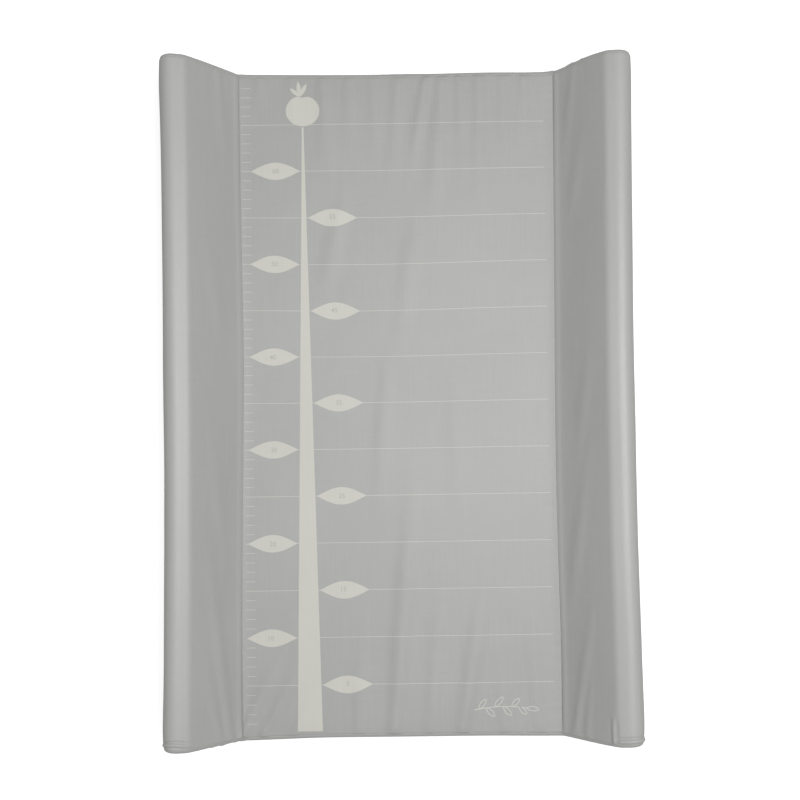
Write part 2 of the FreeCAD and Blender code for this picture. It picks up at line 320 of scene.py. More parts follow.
def settle_cover():
    foam = new_piece("foam_form", wrapped(np.full(grid_s.shape, -FOAM_GAP)).reshape(-1, 3) * SIM_SCALE,
                     grid_faces(*grid_s.shape))
    foam.modifiers.new("Collision", "COLLISION")
    foam.collision.thickness_outer = 0.005
    foam.collision.cloth_friction = 8
    foam.collision.use_culling = False
    folds = fold_height(grid_s, grid_y)
    cover = new_piece("cover_form", wrapped(0.7 * folds).reshape(-1, 3) * SIM_SCALE,
                      grid_faces(*grid_s.shape))
    loose = wrapped(folds)
    ends = smooth_step(0.18, wall_y, np.abs(grid_y))
    loose[..., 0] *= 1.0005 + 0.0010 * ends
    cover.shape_key_add(name="Basis")
    cut = cover.shape_key_add(name="cut_lengths")
    cut.data.foreach_set("co", (loose * SIM_SCALE).ravel())
    sewn = np.zeros(grid_s.shape, bool)
    sewn[[0, -1], :] = True
    sewn[:, [0, -1]] = True
    sewn[:, np.argmin(np.abs(sim_s - crease_x))] = True
    sewn[:, np.argmin(np.abs(sim_s + crease_x))] = True
    pins = cover.vertex_groups.new(name="sewn")
    pins.add(np.flatnonzero(sewn.ravel()).tolist(), 1.0, "REPLACE")
    cloth = cover.modifiers.new("Cloth", "CLOTH")
    cloth.settings.quality = 6
    cloth.settings.mass = 0.4
    cloth.settings.air_damping = 7
    cloth.settings.tension_stiffness = cloth.settings.compression_stiffness = 40
    cloth.settings.shear_stiffness = 14
    cloth.settings.bending_stiffness = 22
    cloth.settings.bending_damping = 1
    cloth.settings.vertex_group_mass = "sewn"
    cloth.settings.rest_shape_key = cut
    cloth.collision_settings.distance_min = 0.004
    cloth.point_cache.frame_end = SIM_FRAMES
    bpy.context.scene.frame_end = SIM_FRAMES
    for number in range(1, SIM_FRAMES + 1):
        bpy.context.scene.frame_set(number)
    settled = cover.evaluated_get(bpy.context.evaluated_depsgraph_get()).data
    points = np.empty(len(settled.vertices) * 3)
    settled.vertices.foreach_get("co", points)
    bpy.context.scene.frame_set(1)
    for form in (cover, foam):
        bpy.data.objects.remove(form)
    return points.reshape(*grid_s.shape, 3) / SIM_SCALE - wrapped(0)


def smoothed(field, rounds):
    for _ in range(rounds):
        inner = field[1:-1, 1:-1]
        around = field[:-2, 1:-1] + field[2:, 1:-1] + field[1:-1, :-2] + field[1:-1, 2:]
        field[1:-1, 1:-1] = inner * 0.5 + around * 0.125
    return field


drape = settle_cover()
drape = smoothed(np.clip(drape, -MOST_MOVE, MOST_MOVE), 3)
print(f"the cover settled by up to {np.abs(drape).max() * 1000:.1f} mm")

# %% [markdown]
# ## Reading the settled cloth
# The finished panels need more points than the simulation had, closest together at the seams. The
# offsets are read between the simulated points with cubic weights, which keeps folds round.

# %% Read the drape anywhere


def cubic_weights(places, knots):
    """Catmull-Rom weights: the four knots round each place, and their shares."""
    cell = np.clip(np.searchsorted(knots, places) - 1, 0, len(knots) - 2)
    t = np.clip((places - knots[cell]) / (knots[cell + 1] - knots[cell]), 0, 1)
    shares = np.stack([
        -0.5 * t + t ** 2 - 0.5 * t ** 3, 1 - 2.5 * t ** 2 + 1.5 * t ** 3,
        0.5 * t + 2 * t ** 2 - 1.5 * t ** 3, -0.5 * t ** 2 + 0.5 * t ** 3])
    knots_used = np.clip(cell + np.arange(-1, 3)[:, None], 0, len(knots) - 1)
    return knots_used, shares


def drape_at(columns, rows):
    """The settled offsets at every crossing of the given columns and rows."""
    ci, cw = cubic_weights(columns, sim_s)
    ri, rw = cubic_weights(rows, sim_y)
    by_row = sum(drape[ri[k]] * rw[k][:, None, None] for k in range(4))
    return sum(by_row[:, ci[k]] * cw[k][None, :, None] for k in range(4))


# %% [markdown]
# ## Seams, rolled ends and puckers
# A cover is sewn inside out and turned. Each seam then shows as a thin dark line where two panels
# dive inwards, and the folded seam allowance makes a soft ridge on one side of it. The thread
# draws the cloth in, which leaves tiny puckers square to the seam. At the ends the panels roll
# over an edge of a few millimetres before they meet the end walls.

# %% Cover panels
ROLL_TURN = math.radians(22)    # the part of the rolled edge that belongs to the long panels
FOLDS_KEPT = 0.7                # folds that the simulation pressed flat, given back
BOLSTER_FOLDS = 0.6             # the bolsters are stretched tighter, so they keep fewer of them
ALLOWANCE = 4 * MM              # what is seen of the seam allowance if the seam gapes
random = np.random.default_rng(11)
PUCKER_WAVES = [(random.uniform(8, 17) * MM, random.uniform(0, 2 * math.pi)) for _ in range(7)]


def puckers(place):
    """A restless wave along a seam, about -1 to 1."""
    wave = sum(np.sin(place * 2 * math.pi / length + phase) for length, phase in PUCKER_WAVES)
    strong = 0.6 + 0.4 * np.sin(place * 37 + 1.3) * np.sin(place * 71)
    return wave * strong / 3


def row_places():
    """Rows along the pad: y, the inward roll of the edge, the distance to the seam, and the tuck."""
    turns = np.linspace(0, ROLL_TURN, 5)
    inner = wall_y - SEAM_ROLL
    near_end = np.linspace(inner - 30 * MM, inner, 28)
    body = np.concatenate([-near_end[::-1], np.linspace(-near_end[0], near_end[0], 208)[1:-1], near_end])
    edge_y = inner + SEAM_ROLL * np.sin(turns[1:])
    edge_in = SEAM_ROLL * (1 - np.cos(turns[1:]))
    edge_left = SEAM_ROLL * (ROLL_TURN - turns[1:])
    y = np.concatenate([[-edge_y[-1]], -edge_y[::-1], body, edge_y, [edge_y[-1]]])
    rolled = np.concatenate([[edge_in[-1]], edge_in[::-1], 0 * body, edge_in, [edge_in[-1]]])
    body_left = inner - np.abs(body) + SEAM_ROLL * ROLL_TURN
    to_seam = np.concatenate([[0], edge_left[::-1], body_left, edge_left, [0]])
    tucked = np.zeros(len(y))
    tucked[[0, -1]] = ALLOWANCE
    return y, rolled, to_seam, tucked


def near_seam(length, spacing):
    """Columns over a width of cloth, closer together at both edges."""
    close = np.array([0, 0.5, 1.0, 1.6, 2.4, 3.4, 4.6, 6.0]) * MM
    body = np.linspace(close[-1], length - close[-1], round((length - 2 * close[-1]) / spacing) + 1)
    return np.concatenate([close[:-1], body, length - close[-2::-1]])


# how far the edges stand out, as (place, millimetres): along each side, and across each end
LEFT_OUT = [(-356, 1.2), (-250, -0.8), (-150, -2.4), (0, -2.8), (150, -2.4), (250, -1.8), (356, -0.6)]
RIGHT_OUT = [(-356, 1.2), (-250, 0.4), (-150, -1.1), (0, -1.6), (120, -0.8), (200, 0.0), (280, 1.4),
             (356, 2.2)]
HEAD_OUT = [(-244, 4.8), (-215, 4.8), (-187, 3.0), (-160, 0.3), (-60, -1.4), (20, -1.8), (100, -1.0),
            (160, -1.5), (182, 0.2), (205, 3.2), (244, 1.6)]
FOOT_OUT = [(-244, -0.6), (-205, 1.3), (-175, 3.0), (-130, 2.2), (-85, 1.2), (0, 1.5), (90, 1.8),
            (160, 2.9), (205, 2.6), (244, 0.2)]
# how far each crease wanders away from the middle of the pad
LEFT_CREASE_OUT = [(-356, 3.8), (-256, 4.0), (-158, 3.0), (-58, 1.2), (42, -0.4), (131, 0.2), (236, 1.2),
                   (356, 1.2)]
RIGHT_CREASE_OUT = [(-356, 1.2), (-256, 2.0), (-158, 1.2), (-58, 1.0), (131, 2.7), (236, 3.7),
                    (356, 4.2)]


def along_table(table, place):
    """A smooth curve through the table's values, read at any place."""
    knots, values = (np.array(column) * MM for column in zip(*table))
    place = np.asarray(place, float)
    used, shares = cubic_weights(np.clip(place.ravel(), knots[0], knots[-1]), knots)
    return (values[used] * shares).sum(0).reshape(place.shape)


def side_sway(x, y, z):
    """How far a place moves sideways. The sides pull in at mid length and stand out near the
    ends, more the higher up they are, and the creases wander a little."""
    height = np.clip(z / crown_z, 0, 1)
    outward = np.where(x < 0, along_table(LEFT_OUT, y), along_table(RIGHT_OUT, y))
    outward = smooth_step(0.12, 0.2, np.abs(x)) * height * outward
    wander = np.where(x < 0, along_table(LEFT_CREASE_OUT, y), along_table(RIGHT_CREASE_OUT, y))
    near = np.exp(-((np.abs(x) - crease_x) / (32 * MM)) ** 2) * smooth_step(0, 30 * MM, z)
    return np.sign(x) * (outward + near * wander)


def end_bow(x, y):
    """The ends of the bolsters stand out, and the head seam draws in between them."""
    outward = np.where(y > 0, along_table(HEAD_OUT, x), along_table(FOOT_OUT, x))
    return np.sign(y) * outward * smooth_step(wall_y - 0.09, wall_y, np.abs(y))


def ridge(distance, width):
    return np.exp(-(distance / (width * MM)) ** 2)


def crown_pleats(s, y):
    """Short sharp folds where the crowns turn down over the foot end, different on each side."""
    from_end = wall_y + y
    reach = np.abs(s) - crease_x
    over_crown = smooth_step(70 * MM, 77 * MM, reach) * smooth_step(110 * MM, 103 * MM, reach)
    arch = 1.8 * MM * ((reach - 90 * MM) / (14 * MM)) ** 2
    left = over_crown * (1.4 * ridge(from_end - 9.6 * MM + arch, 1.5)
                         - 1.4 * ridge(from_end - 12.4 * MM + arch, 0.9)
                         - 1.2 * ridge(from_end - 6.6 * MM + 0.5 * arch, 0.9))
    right = over_crown * (1.5 * ridge(from_end - 7.0 * MM, 1.7) - 1.5 * ridge(from_end - 10.2 * MM, 1.0))
    short = smooth_step(36 * MM, 20 * MM, from_end)
    right += short * (1.3 * ridge(reach - 69 * MM, 1.7) - 1.2 * ridge(reach - 72.4 * MM, 1.2)
                      - 0.5 * ridge(reach - 65 * MM, 1.4))
    return MM * np.where(s < 0, left, right)


def long_panel(name, columns, tuck_columns):
    """A panel that runs from end to end; tuck_columns says how far each column is turned in."""
    y, rolled, to_seam, tucked = row_places()
    s_all, y_all = np.meshgrid(columns, y)
    x, z, nx, nz = across(s_all)
    offset = drape_at(columns, np.clip(y, sim_y[0], sim_y[-1]))
    to_end = to_seam[:, None]
    to_crease = np.abs(np.abs(s_all) - crease_x)
    to_hem = crease_x + BOLSTER_CLOTH - np.abs(s_all)
    on_bolster = np.abs(s_all) > crease_x
    # puckers along the end seam, the crease and the hem
    at_end = np.exp(-to_end / (14 * MM)) * smooth_step(0, 4 * MM, to_crease)
    at_crease = np.exp(-to_crease / (9 * MM)) * smooth_step(0, 2 * MM, to_crease)
    lift = 0.30 * MM * at_end * puckers(s_all + 0.7)
    lift += 0.22 * MM * at_crease * puckers(y_all + 0.3)
    lift += 0.30 * MM * np.exp(-to_hem / (12 * MM)) * puckers(y_all + 0.5)
    # the cloth doesn't reach the bottom of the crease, least of all on the right at mid length
    held_up = smooth_step(0.33, 0.22, np.abs(y_all - 0.02)) * (s_all > 0)
    lift += (1.2 + 0.9 * held_up) * MM * np.exp(-to_crease / ((3.4 + 2.2 * held_up) * MM))
    lift += np.where(on_bolster, 0.45, 0.05) * MM * ridge(to_crease - 4.2 * MM, 2.2)
    # the seams dive in, and the creases go deeper near the ends
    gape = 0.24 + 0.35 * smooth_step(0.12, 0.32, np.abs(y_all)) + 0.08 * puckers(y_all + 0.9)
    gape += 0.35 * smooth_step(0.24, 0.35, np.where(s_all > 0, np.abs(y_all), -y_all))
    for to_line, depth, width in ((to_crease, gape, 0.8), (to_end, 1.1, 0.9), (to_hem, 0.9, 0.9)):
        lift = lift - depth * MM * ridge(to_line, width)
    sewn_down = smooth_step(-1 * MM, 8 * MM, to_end)
    kept = FOLDS_KEPT * np.where(on_bolster, BOLSTER_FOLDS, 1.0)
    lift += kept * fold_height(s_all, y_all) * sewn_down
    lift += crown_pleats(s_all, y_all)
    slack = smooth_step(0, 30 * MM, to_crease) * smooth_step(0, 30 * MM, to_end)
    swell = np.sin(s_all * 31 + 2 * np.sin(y_all * 9)) * np.sin(y_all * 17 + s_all * 6)
    lift += 0.4 * MM * swell * slack
    lift -= rolled[:, None] + tucked[:, None] + np.asarray(tuck_columns)[None, :]
    points = np.stack([x + nx * lift, y_all, z + nz * lift], -1) + offset
    points[..., 0] += side_sway(points[..., 0], y_all, points[..., 2])
    points[..., 1] += end_bow(points[..., 0], y_all)
    points[..., 2] = np.clip(points[..., 2], 1.2 * MM, None)
    return cloth_grid(name, points, np.stack([s_all, y_all], -1))


def with_allowance(columns):
    """The columns with both edges doubled, and how far each column is turned in."""
    tuck = np.zeros(len(columns) + 2)
    tuck[[0, -1]] = ALLOWANCE
    return np.concatenate([columns[:1], columns, columns[-1:]]), tuck


columns, tuck = with_allowance(near_seam(2 * crease_x, 2.8 * MM) - crease_x)
top_panel = long_panel("printed_top_panel", columns, tuck)
bolster_panels = {}
for side, label in ((-1, "left"), (1, "right")):
    columns, tuck = with_allowance(near_seam(BOLSTER_CLOTH, 2.0 * MM) + crease_x)
    columns = columns + 1e-6
    if side < 0:
        columns, tuck = -columns[::-1], tuck[::-1]
    bolster_panels[label] = long_panel(f"{label}_bolster_panel", columns, tuck)
print("top panel", len(top_panel.data.polygons), "faces, bolsters",
      [len(p.data.polygons) for p in bolster_panels.values()])

# %% [markdown]
# ## End walls
# Each end is closed by a wall cut to the pad's own outline. It is built the way it is sewn: a rim
# that rolls over to meet the long panels, and a face inside it. The face has no natural grid, so a
# constrained triangulation fills its outline with even points. The head wall also has a long slot
# for the zip, whose edges turn inwards as folded lips, and a narrow strip under it.

# %% The rim of an end wall
WALL_ROLL_BOTTOM = 2 * MM
BOTTOM_CORNER = 9 * MM          # the bottom row of points starts this far in from each side
WALL_TURNS = [math.radians(a) for a in (22, 30, 40, 52, 65, 78, 90)]


def wall_loop(seam_z=None):
    """The outline all round: points (x, z), outward directions and the radius of the rolled rim."""
    top = crease_x + BOLSTER_CLOTH
    s = np.unique(np.concatenate([
        np.linspace(-top, top, round(2 * top / (4.5 * MM))), [-crease_x, crease_x]]))
    x, z, nx, nz = across(s)
    if seam_z is not None:
        for near in (np.argmin(np.where(s < 0, np.abs(z - seam_z), 9)),
                     np.argmin(np.where(s > 0, np.abs(z - seam_z), 9))):
            z[near] = seam_z
    bottom_x = np.linspace(half_width - BOTTOM_CORNER, BOTTOM_CORNER - half_width,
                           round(2 * half_width / (5 * MM)))
    place = np.column_stack([np.append(x, bottom_x), np.append(z, 0 * bottom_x + HEM_Z)])
    outward = np.column_stack([np.append(nx, 0 * bottom_x), np.append(nz, 0 * bottom_x - 1)])
    radius = np.append(0 * s + SEAM_ROLL, 0 * bottom_x + WALL_ROLL_BOTTOM)
    return place, outward, radius


def wall_rings(place, outward, radius):
    """Loops from the seam to the face, each (x, z, distance behind the face)."""
    rings = []
    for k, turn in enumerate([WALL_TURNS[0]] + WALL_TURNS):
        inward = radius * (1 - math.cos(turn))
        behind = radius * (1 - math.sin(turn)) + (ALLOWANCE if k == 0 else 0)
        behind = behind + 0.9 * MM * math.exp(-((turn - ROLL_TURN) / 0.16) ** 2)
        flat = place - outward * inward[:, None]
        rings.append(np.column_stack([flat, behind]))
    return rings


# %% [markdown]
# The face is filled with points five millimetres apart. A slot is left open by dropping the
# triangles inside its loop. Long gentle bulges and small puckers near the rim keep the wall from
# looking like a board.

# %% Fill and shape a wall


def slot_loop(margin, radius, step=5 * MM):
    """A rounded rectangle round the zip's slot, wider than it by the margin, counter-clockwise."""
    low_x, high_x = -slot_x - margin, slot_x + margin
    low_z, high_z = slot_z[0] - margin, slot_z[1] + margin
    points = []
    left, right, low, high = low_x + radius, high_x - radius, low_z + radius, high_z - radius
    for x, z, start in ((right, high, 0), (left, high, 90), (left, low, 180), (right, low, 270)):
        for k in range(5):
            a = math.radians(start + 22.5 * k)
            points.append(Vector((x + radius * math.cos(a), z + radius * math.sin(a))))
    filled = []
    for here, after in zip(points, points[1:] + points[:1]):
        count = max(1, round((after - here).length / step))
        filled += [tuple(here.lerp(after, k / count)) for k in range(count)]
    return np.array(filled)


def inside(loop, x, z):
    """Which points lie inside a closed loop."""
    x0, z0 = loop[:, 0], loop[:, 1]
    x1, z1 = np.roll(x0, -1), np.roll(z0, -1)
    crossing = (z0[None] > z[:, None]) != (z1[None] > z[:, None])
    with np.errstate(divide="ignore", invalid="ignore"):
        reach = (x1 - x0)[None] * (z[:, None] - z0[None]) / (z1 - z0)[None] + x0[None]
    return (crossing & (x[:, None] < reach)).sum(1) % 2 == 1


def filled_face(outer, hole=None, extra_rows=(), spacing=5 * MM):
    """Triangles inside the outer loop and outside the hole; the loops' points come first."""
    loops = [outer] if hole is None else [outer, hole]
    points = np.vstack(loops)
    edges, start = [], 0
    for loop in loops:
        count = len(loop)
        edges += [(start + k, start + (k + 1) % count) for k in range(count)]
        start += count
    low, high = outer.min(0), outer.max(0)
    rows = np.concatenate([np.arange(low[1] + spacing / 2, high[1], spacing), extra_rows])
    gx, gz = np.meshgrid(np.arange(low[0] + spacing / 2, high[0], spacing), rows)
    every_other = np.repeat(np.arange(len(rows)) % 2, gx.shape[1])
    gx, gz = gx.ravel() + every_other * spacing / 2, gz.ravel()
    keep = inside(outer, gx, gz)
    if hole is not None:
        keep &= ~inside(hole, gx, gz)
    gx, gz = gx[keep], gz[keep]
    away = np.min(np.hypot(gx[:, None] - points[None, :, 0], gz[:, None] - points[None, :, 1]), axis=1)
    room = np.where(np.isin(np.round(gz, 6), np.round(extra_rows, 6)), 0.8 * MM, 0.55 * spacing)
    gx, gz = gx[away > room], gz[away > room]
    points = np.vstack([points, np.column_stack([gx, gz])])
    flat = [Vector((float(a), float(b))) for a, b in points]
    verts, _, faces, origin, _, _ = delaunay_2d_cdt(flat, edges, [], 0, 1e-6)
    verts = np.array([tuple(v) for v in verts])
    faces = [f for f in faces if len(f) == 3]
    middle = np.array([verts[f].mean(0) for f in map(list, faces)])
    keep = inside(outer, middle[:, 0], middle[:, 1])
    if hole is not None:
        keep &= ~inside(hole, middle[:, 0], middle[:, 1])
    home = {source: k for k, sources in enumerate(origin) for source in sources}
    loop_index = [home[k] for k in range(sum(len(loop) for loop in loops))]
    return verts, [tuple(f) for f, good in zip(faces, keep) if good], loop_index


def wall_bulge(x, z, end):
    """How far a wall's face stands out, in metres: low waves, and puckers near the top seam."""
    _, outline_z, _, _ = across(np.sign(x) * np.minimum(np.abs(x), crease_x))
    outline_z = np.where(np.abs(x) > crease_x, crown_z, outline_z)
    to_top = np.clip(outline_z - z, 0, None)
    from_side = smooth_step(0, 30 * MM, half_width - np.abs(x))
    from_floor = smooth_step(0, 30 * MM, z)
    waves = np.sin(x * 17 + end) * np.sin(z * 40 + x * 9 + 1) + 0.6 * np.sin(x * 43 - z * 30 + 2 * end)
    bulge = 0.7 * MM * waves * from_side * from_floor
    bulge += 1.2 * MM * from_side * from_floor * smooth_step(0, 20 * MM, to_top)
    return bulge + 0.35 * MM * puckers(x + 0.11 * end) * np.exp(-to_top / (16 * MM)) * from_floor


print("the rim is rolled over", SEAM_ROLL * 1000, "mm")

# %% [markdown]
# The head wall is two pieces of cloth that meet at the bottom edge of the zip's slot: a large wall
# above, and a strip below. Beside the slot they are sewn to each other, which shows as a short
# line. The lips of the slot fold in by a few millimetres and end at the zip tapes.

# %% Make both end walls
tape_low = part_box("zip_lower_tape")
tape_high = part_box("zip_upper_tape")
slot_x = tape_high[1][0]
slot_z = (tape_low[0][2], tape_high[1][2])
tape_y = tape_high[1][1]
LIP = 1.5 * MM


def pull_room(x, z, end):
    """1 where the head wall lies flat beside the slot, so that the pull can turn over it."""
    beside = smooth_step(160 * MM, 178 * MM, np.abs(x)) * smooth_step(243 * MM, 232 * MM, np.abs(x))
    from_zip = np.abs(z - sum(slot_z) / 2)
    return beside * smooth_step(20 * MM, 11 * MM, from_zip) * (end > 0)


def wall_points(flat, behind, end, bow=1.0):
    """Flat (x, z) places on a wall as points in space; end is 1 at the head and -1 at the foot."""
    x, z = flat[:, 0], flat[:, 1]
    flatter = pull_room(x, z, end)
    behind = np.where(behind < 0, behind * (1 - flatter), behind)
    y = end * (wall_y - behind)
    x = x + side_sway(x, y, z)
    return np.column_stack([x, y + end_bow(x, y) * bow * (1 - flatter), z])


def bridged(loops):
    """Quads between each closed loop of point numbers and the next one."""
    return [[low[k], low[(k + 1) % len(low)], high[(k + 1) % len(low)], high[k]]
            for low, high in zip(loops, loops[1:]) for k in range(len(low))]


def end_wall(end, slot=False):
    """Points, faces and flat coordinates of a wall."""
    seam_z = slot_z[0] if slot else None
    place, outward, radius = wall_loop(seam_z)
    rings = wall_rings(place, outward, radius)
    count = len(place)
    inner = rings[-1][:, :2]
    hole, extra = None, ()
    if slot:
        hole = slot_loop(LIP, 3 * MM)
        for side in (-1, 1):
            near = np.argmin(np.hypot(hole[:, 0] - side * (slot_x + LIP), hole[:, 1] - slot_z[0]))
            hole[near, 1] = slot_z[0]
        extra = np.array([-3.6, -2.2, -1.1, 0, 1.1, 2.2, 3.6]) * MM + seam_z
    verts, faces, loop_index = filled_face(inner, hole, extra)
    behind = -wall_bulge(verts[:, 0], verts[:, 1], end)
    on_rim = np.array(loop_index[:count])
    behind[on_rim] = rings[-1][:, 2]
    if slot:
        beside = smooth_step(slot_x - 2 * MM, slot_x + 4 * MM, np.abs(verts[:, 0]))
        behind += 1.0 * MM * beside * np.exp(-((verts[:, 1] - seam_z) / (1.0 * MM)) ** 2)
        on_slot = np.array(loop_index[count:])
        slot_behind = behind[on_slot]
    points = [wall_points(verts, behind, end)]
    flat = [verts]
    faces = [list(f) for f in faces]
    base = len(verts)
    for ring in rings[:-1]:
        points.append(wall_points(ring[:, :2], ring[:, 2], end))
        flat.append(place + outward * 1e-3)
    starts = [base + k * count for k in range(len(rings) - 1)]
    faces += bridged([np.arange(count) + a for a in starts] + [on_rim])
    if slot:
        base = sum(len(p) for p in points)
        # how far each ring of the lip is folded in, as (share of the lip, depth in millimetres)
        inset = [(0.35, 0.25), (0.75, 0.75), (1.0, 1.6), (1.0, 3.6), (1.0, (wall_y - tape_y) / MM + 0.3)]
        toward = np.column_stack([-np.sign(hole[:, 0]) * (np.abs(hole[:, 0]) > slot_x - LIP),
                                  np.sign(sum(slot_z) / 2 - hole[:, 1])])
        at_side = (hole[:, 1] > slot_z[0] + 2 * MM) & (hole[:, 1] < slot_z[1] - 2 * MM)
        toward[at_side, 1] = 0
        rings_in = [on_slot]
        for k, (step, depth) in enumerate(inset):
            moved = hole + toward * LIP * step
            deep = depth / inset[-1][1]
            points.append(wall_points(moved, slot_behind * (1 - deep) + depth * MM, end, 1 - deep))
            flat.append(moved)
            rings_in.append(np.arange(len(hole)) + base + k * len(hole))
        faces += bridged(rings_in)
    return np.vstack(points), faces, np.vstack(flat)


def keep_faces(name, points, faces, flat, wanted):
    """A piece from the wanted faces only, turned so that they look outwards."""
    chosen = [f for f, good in zip(faces, wanted) if good]
    used = np.unique(np.concatenate([np.array(f) for f in chosen]))
    renumber = {old: new for new, old in enumerate(used)}
    piece = new_piece(name, points[used], [[renumber[i] for i in f] for f in chosen], flat[used])
    shape = bmesh.new()
    shape.from_mesh(piece.data)
    bmesh.ops.recalc_face_normals(shape, faces=shape.faces)
    outward = sum((f.normal * f.calc_area() for f in shape.faces), Vector())
    if outward.y * (1 if points[used][:, 1].mean() > 0 else -1) < 0:
        bmesh.ops.reverse_faces(shape, faces=shape.faces)
    shape.to_mesh(piece.data)
    shape.free()
    return piece


foot_points, foot_faces, foot_flat = end_wall(-1)
foot_wall = keep_faces("foot_end_wall", foot_points, foot_faces, foot_flat, [True] * len(foot_faces))
head_points, head_faces, head_flat = end_wall(1, slot=True)
heights = np.array([head_flat[f].mean(0)[1] for f in head_faces])
head_wall = keep_faces("head_end_wall", head_points, head_faces, head_flat, heights > slot_z[0])
head_strip = keep_faces("head_lower_strip", head_points, head_faces, head_flat, heights <= slot_z[0])
print("end walls:", [len(p.data.polygons) for p in (foot_wall, head_wall, head_strip)], "faces")

# %% [markdown]
# ## Base panel and foam
# The base is one flat panel that the pad stands on. Its rim curls up and in to meet the other
# panels, and it follows the bow of the end walls. The
# foam inside doesn't show, but it is there: a slab with a wedge glued on each side, each a closed
# block with softly worn edges, a few millimetres inside the cloth.

# %% Base panel
BASE_Z = 0.4 * MM
CURL = 3 * MM                   # width of the rim that curls up


def make_base():
    x = near_seam(2 * half_width, 9 * MM) - half_width
    y = near_seam(2 * wall_y, 9 * MM) - wall_y
    px, py = np.meshgrid(x, y)
    corner_x, corner_y = half_width - SEAM_ROLL, wall_y - SEAM_ROLL
    u, v = np.maximum(np.abs(px) - corner_x, 0), np.maximum(np.abs(py) - corner_y, 0)
    reach = np.maximum(np.hypot(u, v) / SEAM_ROLL, 1)
    px, py = (np.where(u * v > 0, np.sign(p) * (c + w / reach), p)
              for p, c, w in ((px, corner_x, u), (py, corner_y, v)))
    edge = np.minimum(half_width - np.abs(px), wall_y - np.abs(py))
    corner_edge = SEAM_ROLL * (1 - np.clip(np.hypot(u, v) / SEAM_ROLL, 0, 1))
    edge = np.where(u * v > 0, corner_edge, edge)
    rise = 1 - np.clip(edge / CURL, 0, 1)
    curl = (HEM_Z - BASE_Z) * (1 - np.sqrt(1 - rise ** 2))
    waves = np.sin(px * 23 + 2 * np.sin(py * 11)) * np.sin(py * 19)
    waves *= 0.12 * MM * smooth_step(0, 30 * MM, edge)
    shrink = 2.3 * MM * rise ** 4
    place = np.stack([px - np.sign(px) * shrink, py - np.sign(py) * shrink, BASE_Z + curl + waves], -1)
    place[..., 1] += end_bow(px, py)
    return cloth_grid("base_panel", place[:, ::-1], np.stack([px, py], -1)[:, ::-1])


base_panel = make_base()
print("base panel lies at", round(min(v.co.z for v in base_panel.data.vertices) * 1000, 2), "mm")

# %% [markdown]
# ## Foam
# The cover is filled by three foam blocks: a flat slab and a bolster along each side. They are
# hidden in use, so plain blocks with rounded edges are enough. They sit a little inside the cover.

# %% Foam
FOAM_INSET = 3.5 * MM


def foam_block(name, outline, bevel):
    """A block of the given section (x, z) that runs along the pad, with rounded edges."""
    count = len(outline)
    points = [(x, y, z) for y in (5.5 * MM - wall_y, tape_y - 3 * MM) for x, z in outline]
    faces = [tuple(range(count)), tuple(range(2 * count - 1, count - 1, -1))]
    faces += [(k, k + count, (k + 1) % count + count, (k + 1) % count) for k in range(count)]
    piece = new_piece(name, points, faces)
    shape = bmesh.new()
    shape.from_mesh(piece.data)
    bmesh.ops.bevel(shape, geom=shape.edges[:], offset=bevel, segments=3, profile=0.6, affect="EDGES")
    bmesh.ops.recalc_face_normals(shape, faces=shape.faces)
    shape.to_mesh(piece.data)
    shape.free()
    return piece


FOAM_FLOOR, FOAM_BEVEL = 2 * MM, 2 * MM
slab_top = panel_z - FOAM_INSET
foam_x = half_width - FOAM_INSET - 2 * MM
foam_slab = foam_block("foam_slab", [(-foam_x, FOAM_FLOOR), (foam_x, FOAM_FLOOR), (foam_x, slab_top),
                                     (-foam_x, slab_top)], FOAM_BEVEL)
wedges = {}
for side, label in ((-1, "left"), (1, "right")):
    wedges[label] = foam_block(f"foam_{label}_block", [
        (side * (crease_x + 5 * MM), slab_top), (side * foam_x, slab_top),
        (side * foam_x, crown_z - 16 * MM), (side * (foam_x - 9 * MM), crown_z - FOAM_INSET - 1 * MM),
        (side * (half_width - CROWN_WIDTH + 4 * MM), crown_z - CROWN_TILT - FOAM_INSET)], FOAM_BEVEL)
print("foam blocks:", foam_slab.name, *(w.name for w in wedges.values()))

# %% [markdown]
# ## The print
# Screen ink is a thin layer that sits on the cloth and shines a little less than it. It could be a
# mask in the cloth's shader, but then its edges would be only as sharp as the texture it is baked
# to. Here each shape is a film of its own: its points are dropped straight down on the finished
# panel and lifted by a tenth of a millimetre, so it follows every fold and keeps a crisp edge.

# %% Lay shapes on the panel
panel_surface = BVHTree.FromPolygons([v.co for v in top_panel.data.vertices],
                                     [p.vertices[:] for p in top_panel.data.polygons])
LINE_LIFT, SHAPE_LIFT, NUMBER_LIFT = 0.10 * MM, 0.14 * MM, 0.22 * MM


def pulled_print(x, y):
    """The print was straight when the cloth was flat; the loose middle now pulls it down a little."""
    return y - 2.8 * MM * ridge((y - 0.125) / 130, 1) * ridge((x + 0.02) / 115, 1)


def laid(flat, lift):
    points = []
    for x, y in flat:
        y = pulled_print(x, y)
        hit, normal, _, _ = panel_surface.ray_cast(Vector((x, y, 0.3)), Vector((0, 0, -1)))
        points.append(hit + normal * lift)
    return points


def ribbon(path, width):
    """A strip of ink along a path of (x, y) places."""
    path = np.asarray(path, float)
    along = np.gradient(path, axis=0)
    along /= np.linalg.norm(along, axis=1)[:, None]
    side = np.stack([-along[:, 1], along[:, 0]], -1) * (width / 2)
    strip = np.stack([path + side, path - side], 1)
    return laid(strip.reshape(-1, 2), LINE_LIFT), [tuple(f[::-1]) for f in grid_faces(len(path), 2)]


def filled_shape(outline):
    """A filled patch of ink inside an outline of (x, y) places."""
    flat, faces, _ = filled_face(np.asarray(outline, float), spacing=3 * MM)
    return laid(flat, SHAPE_LIFT), faces


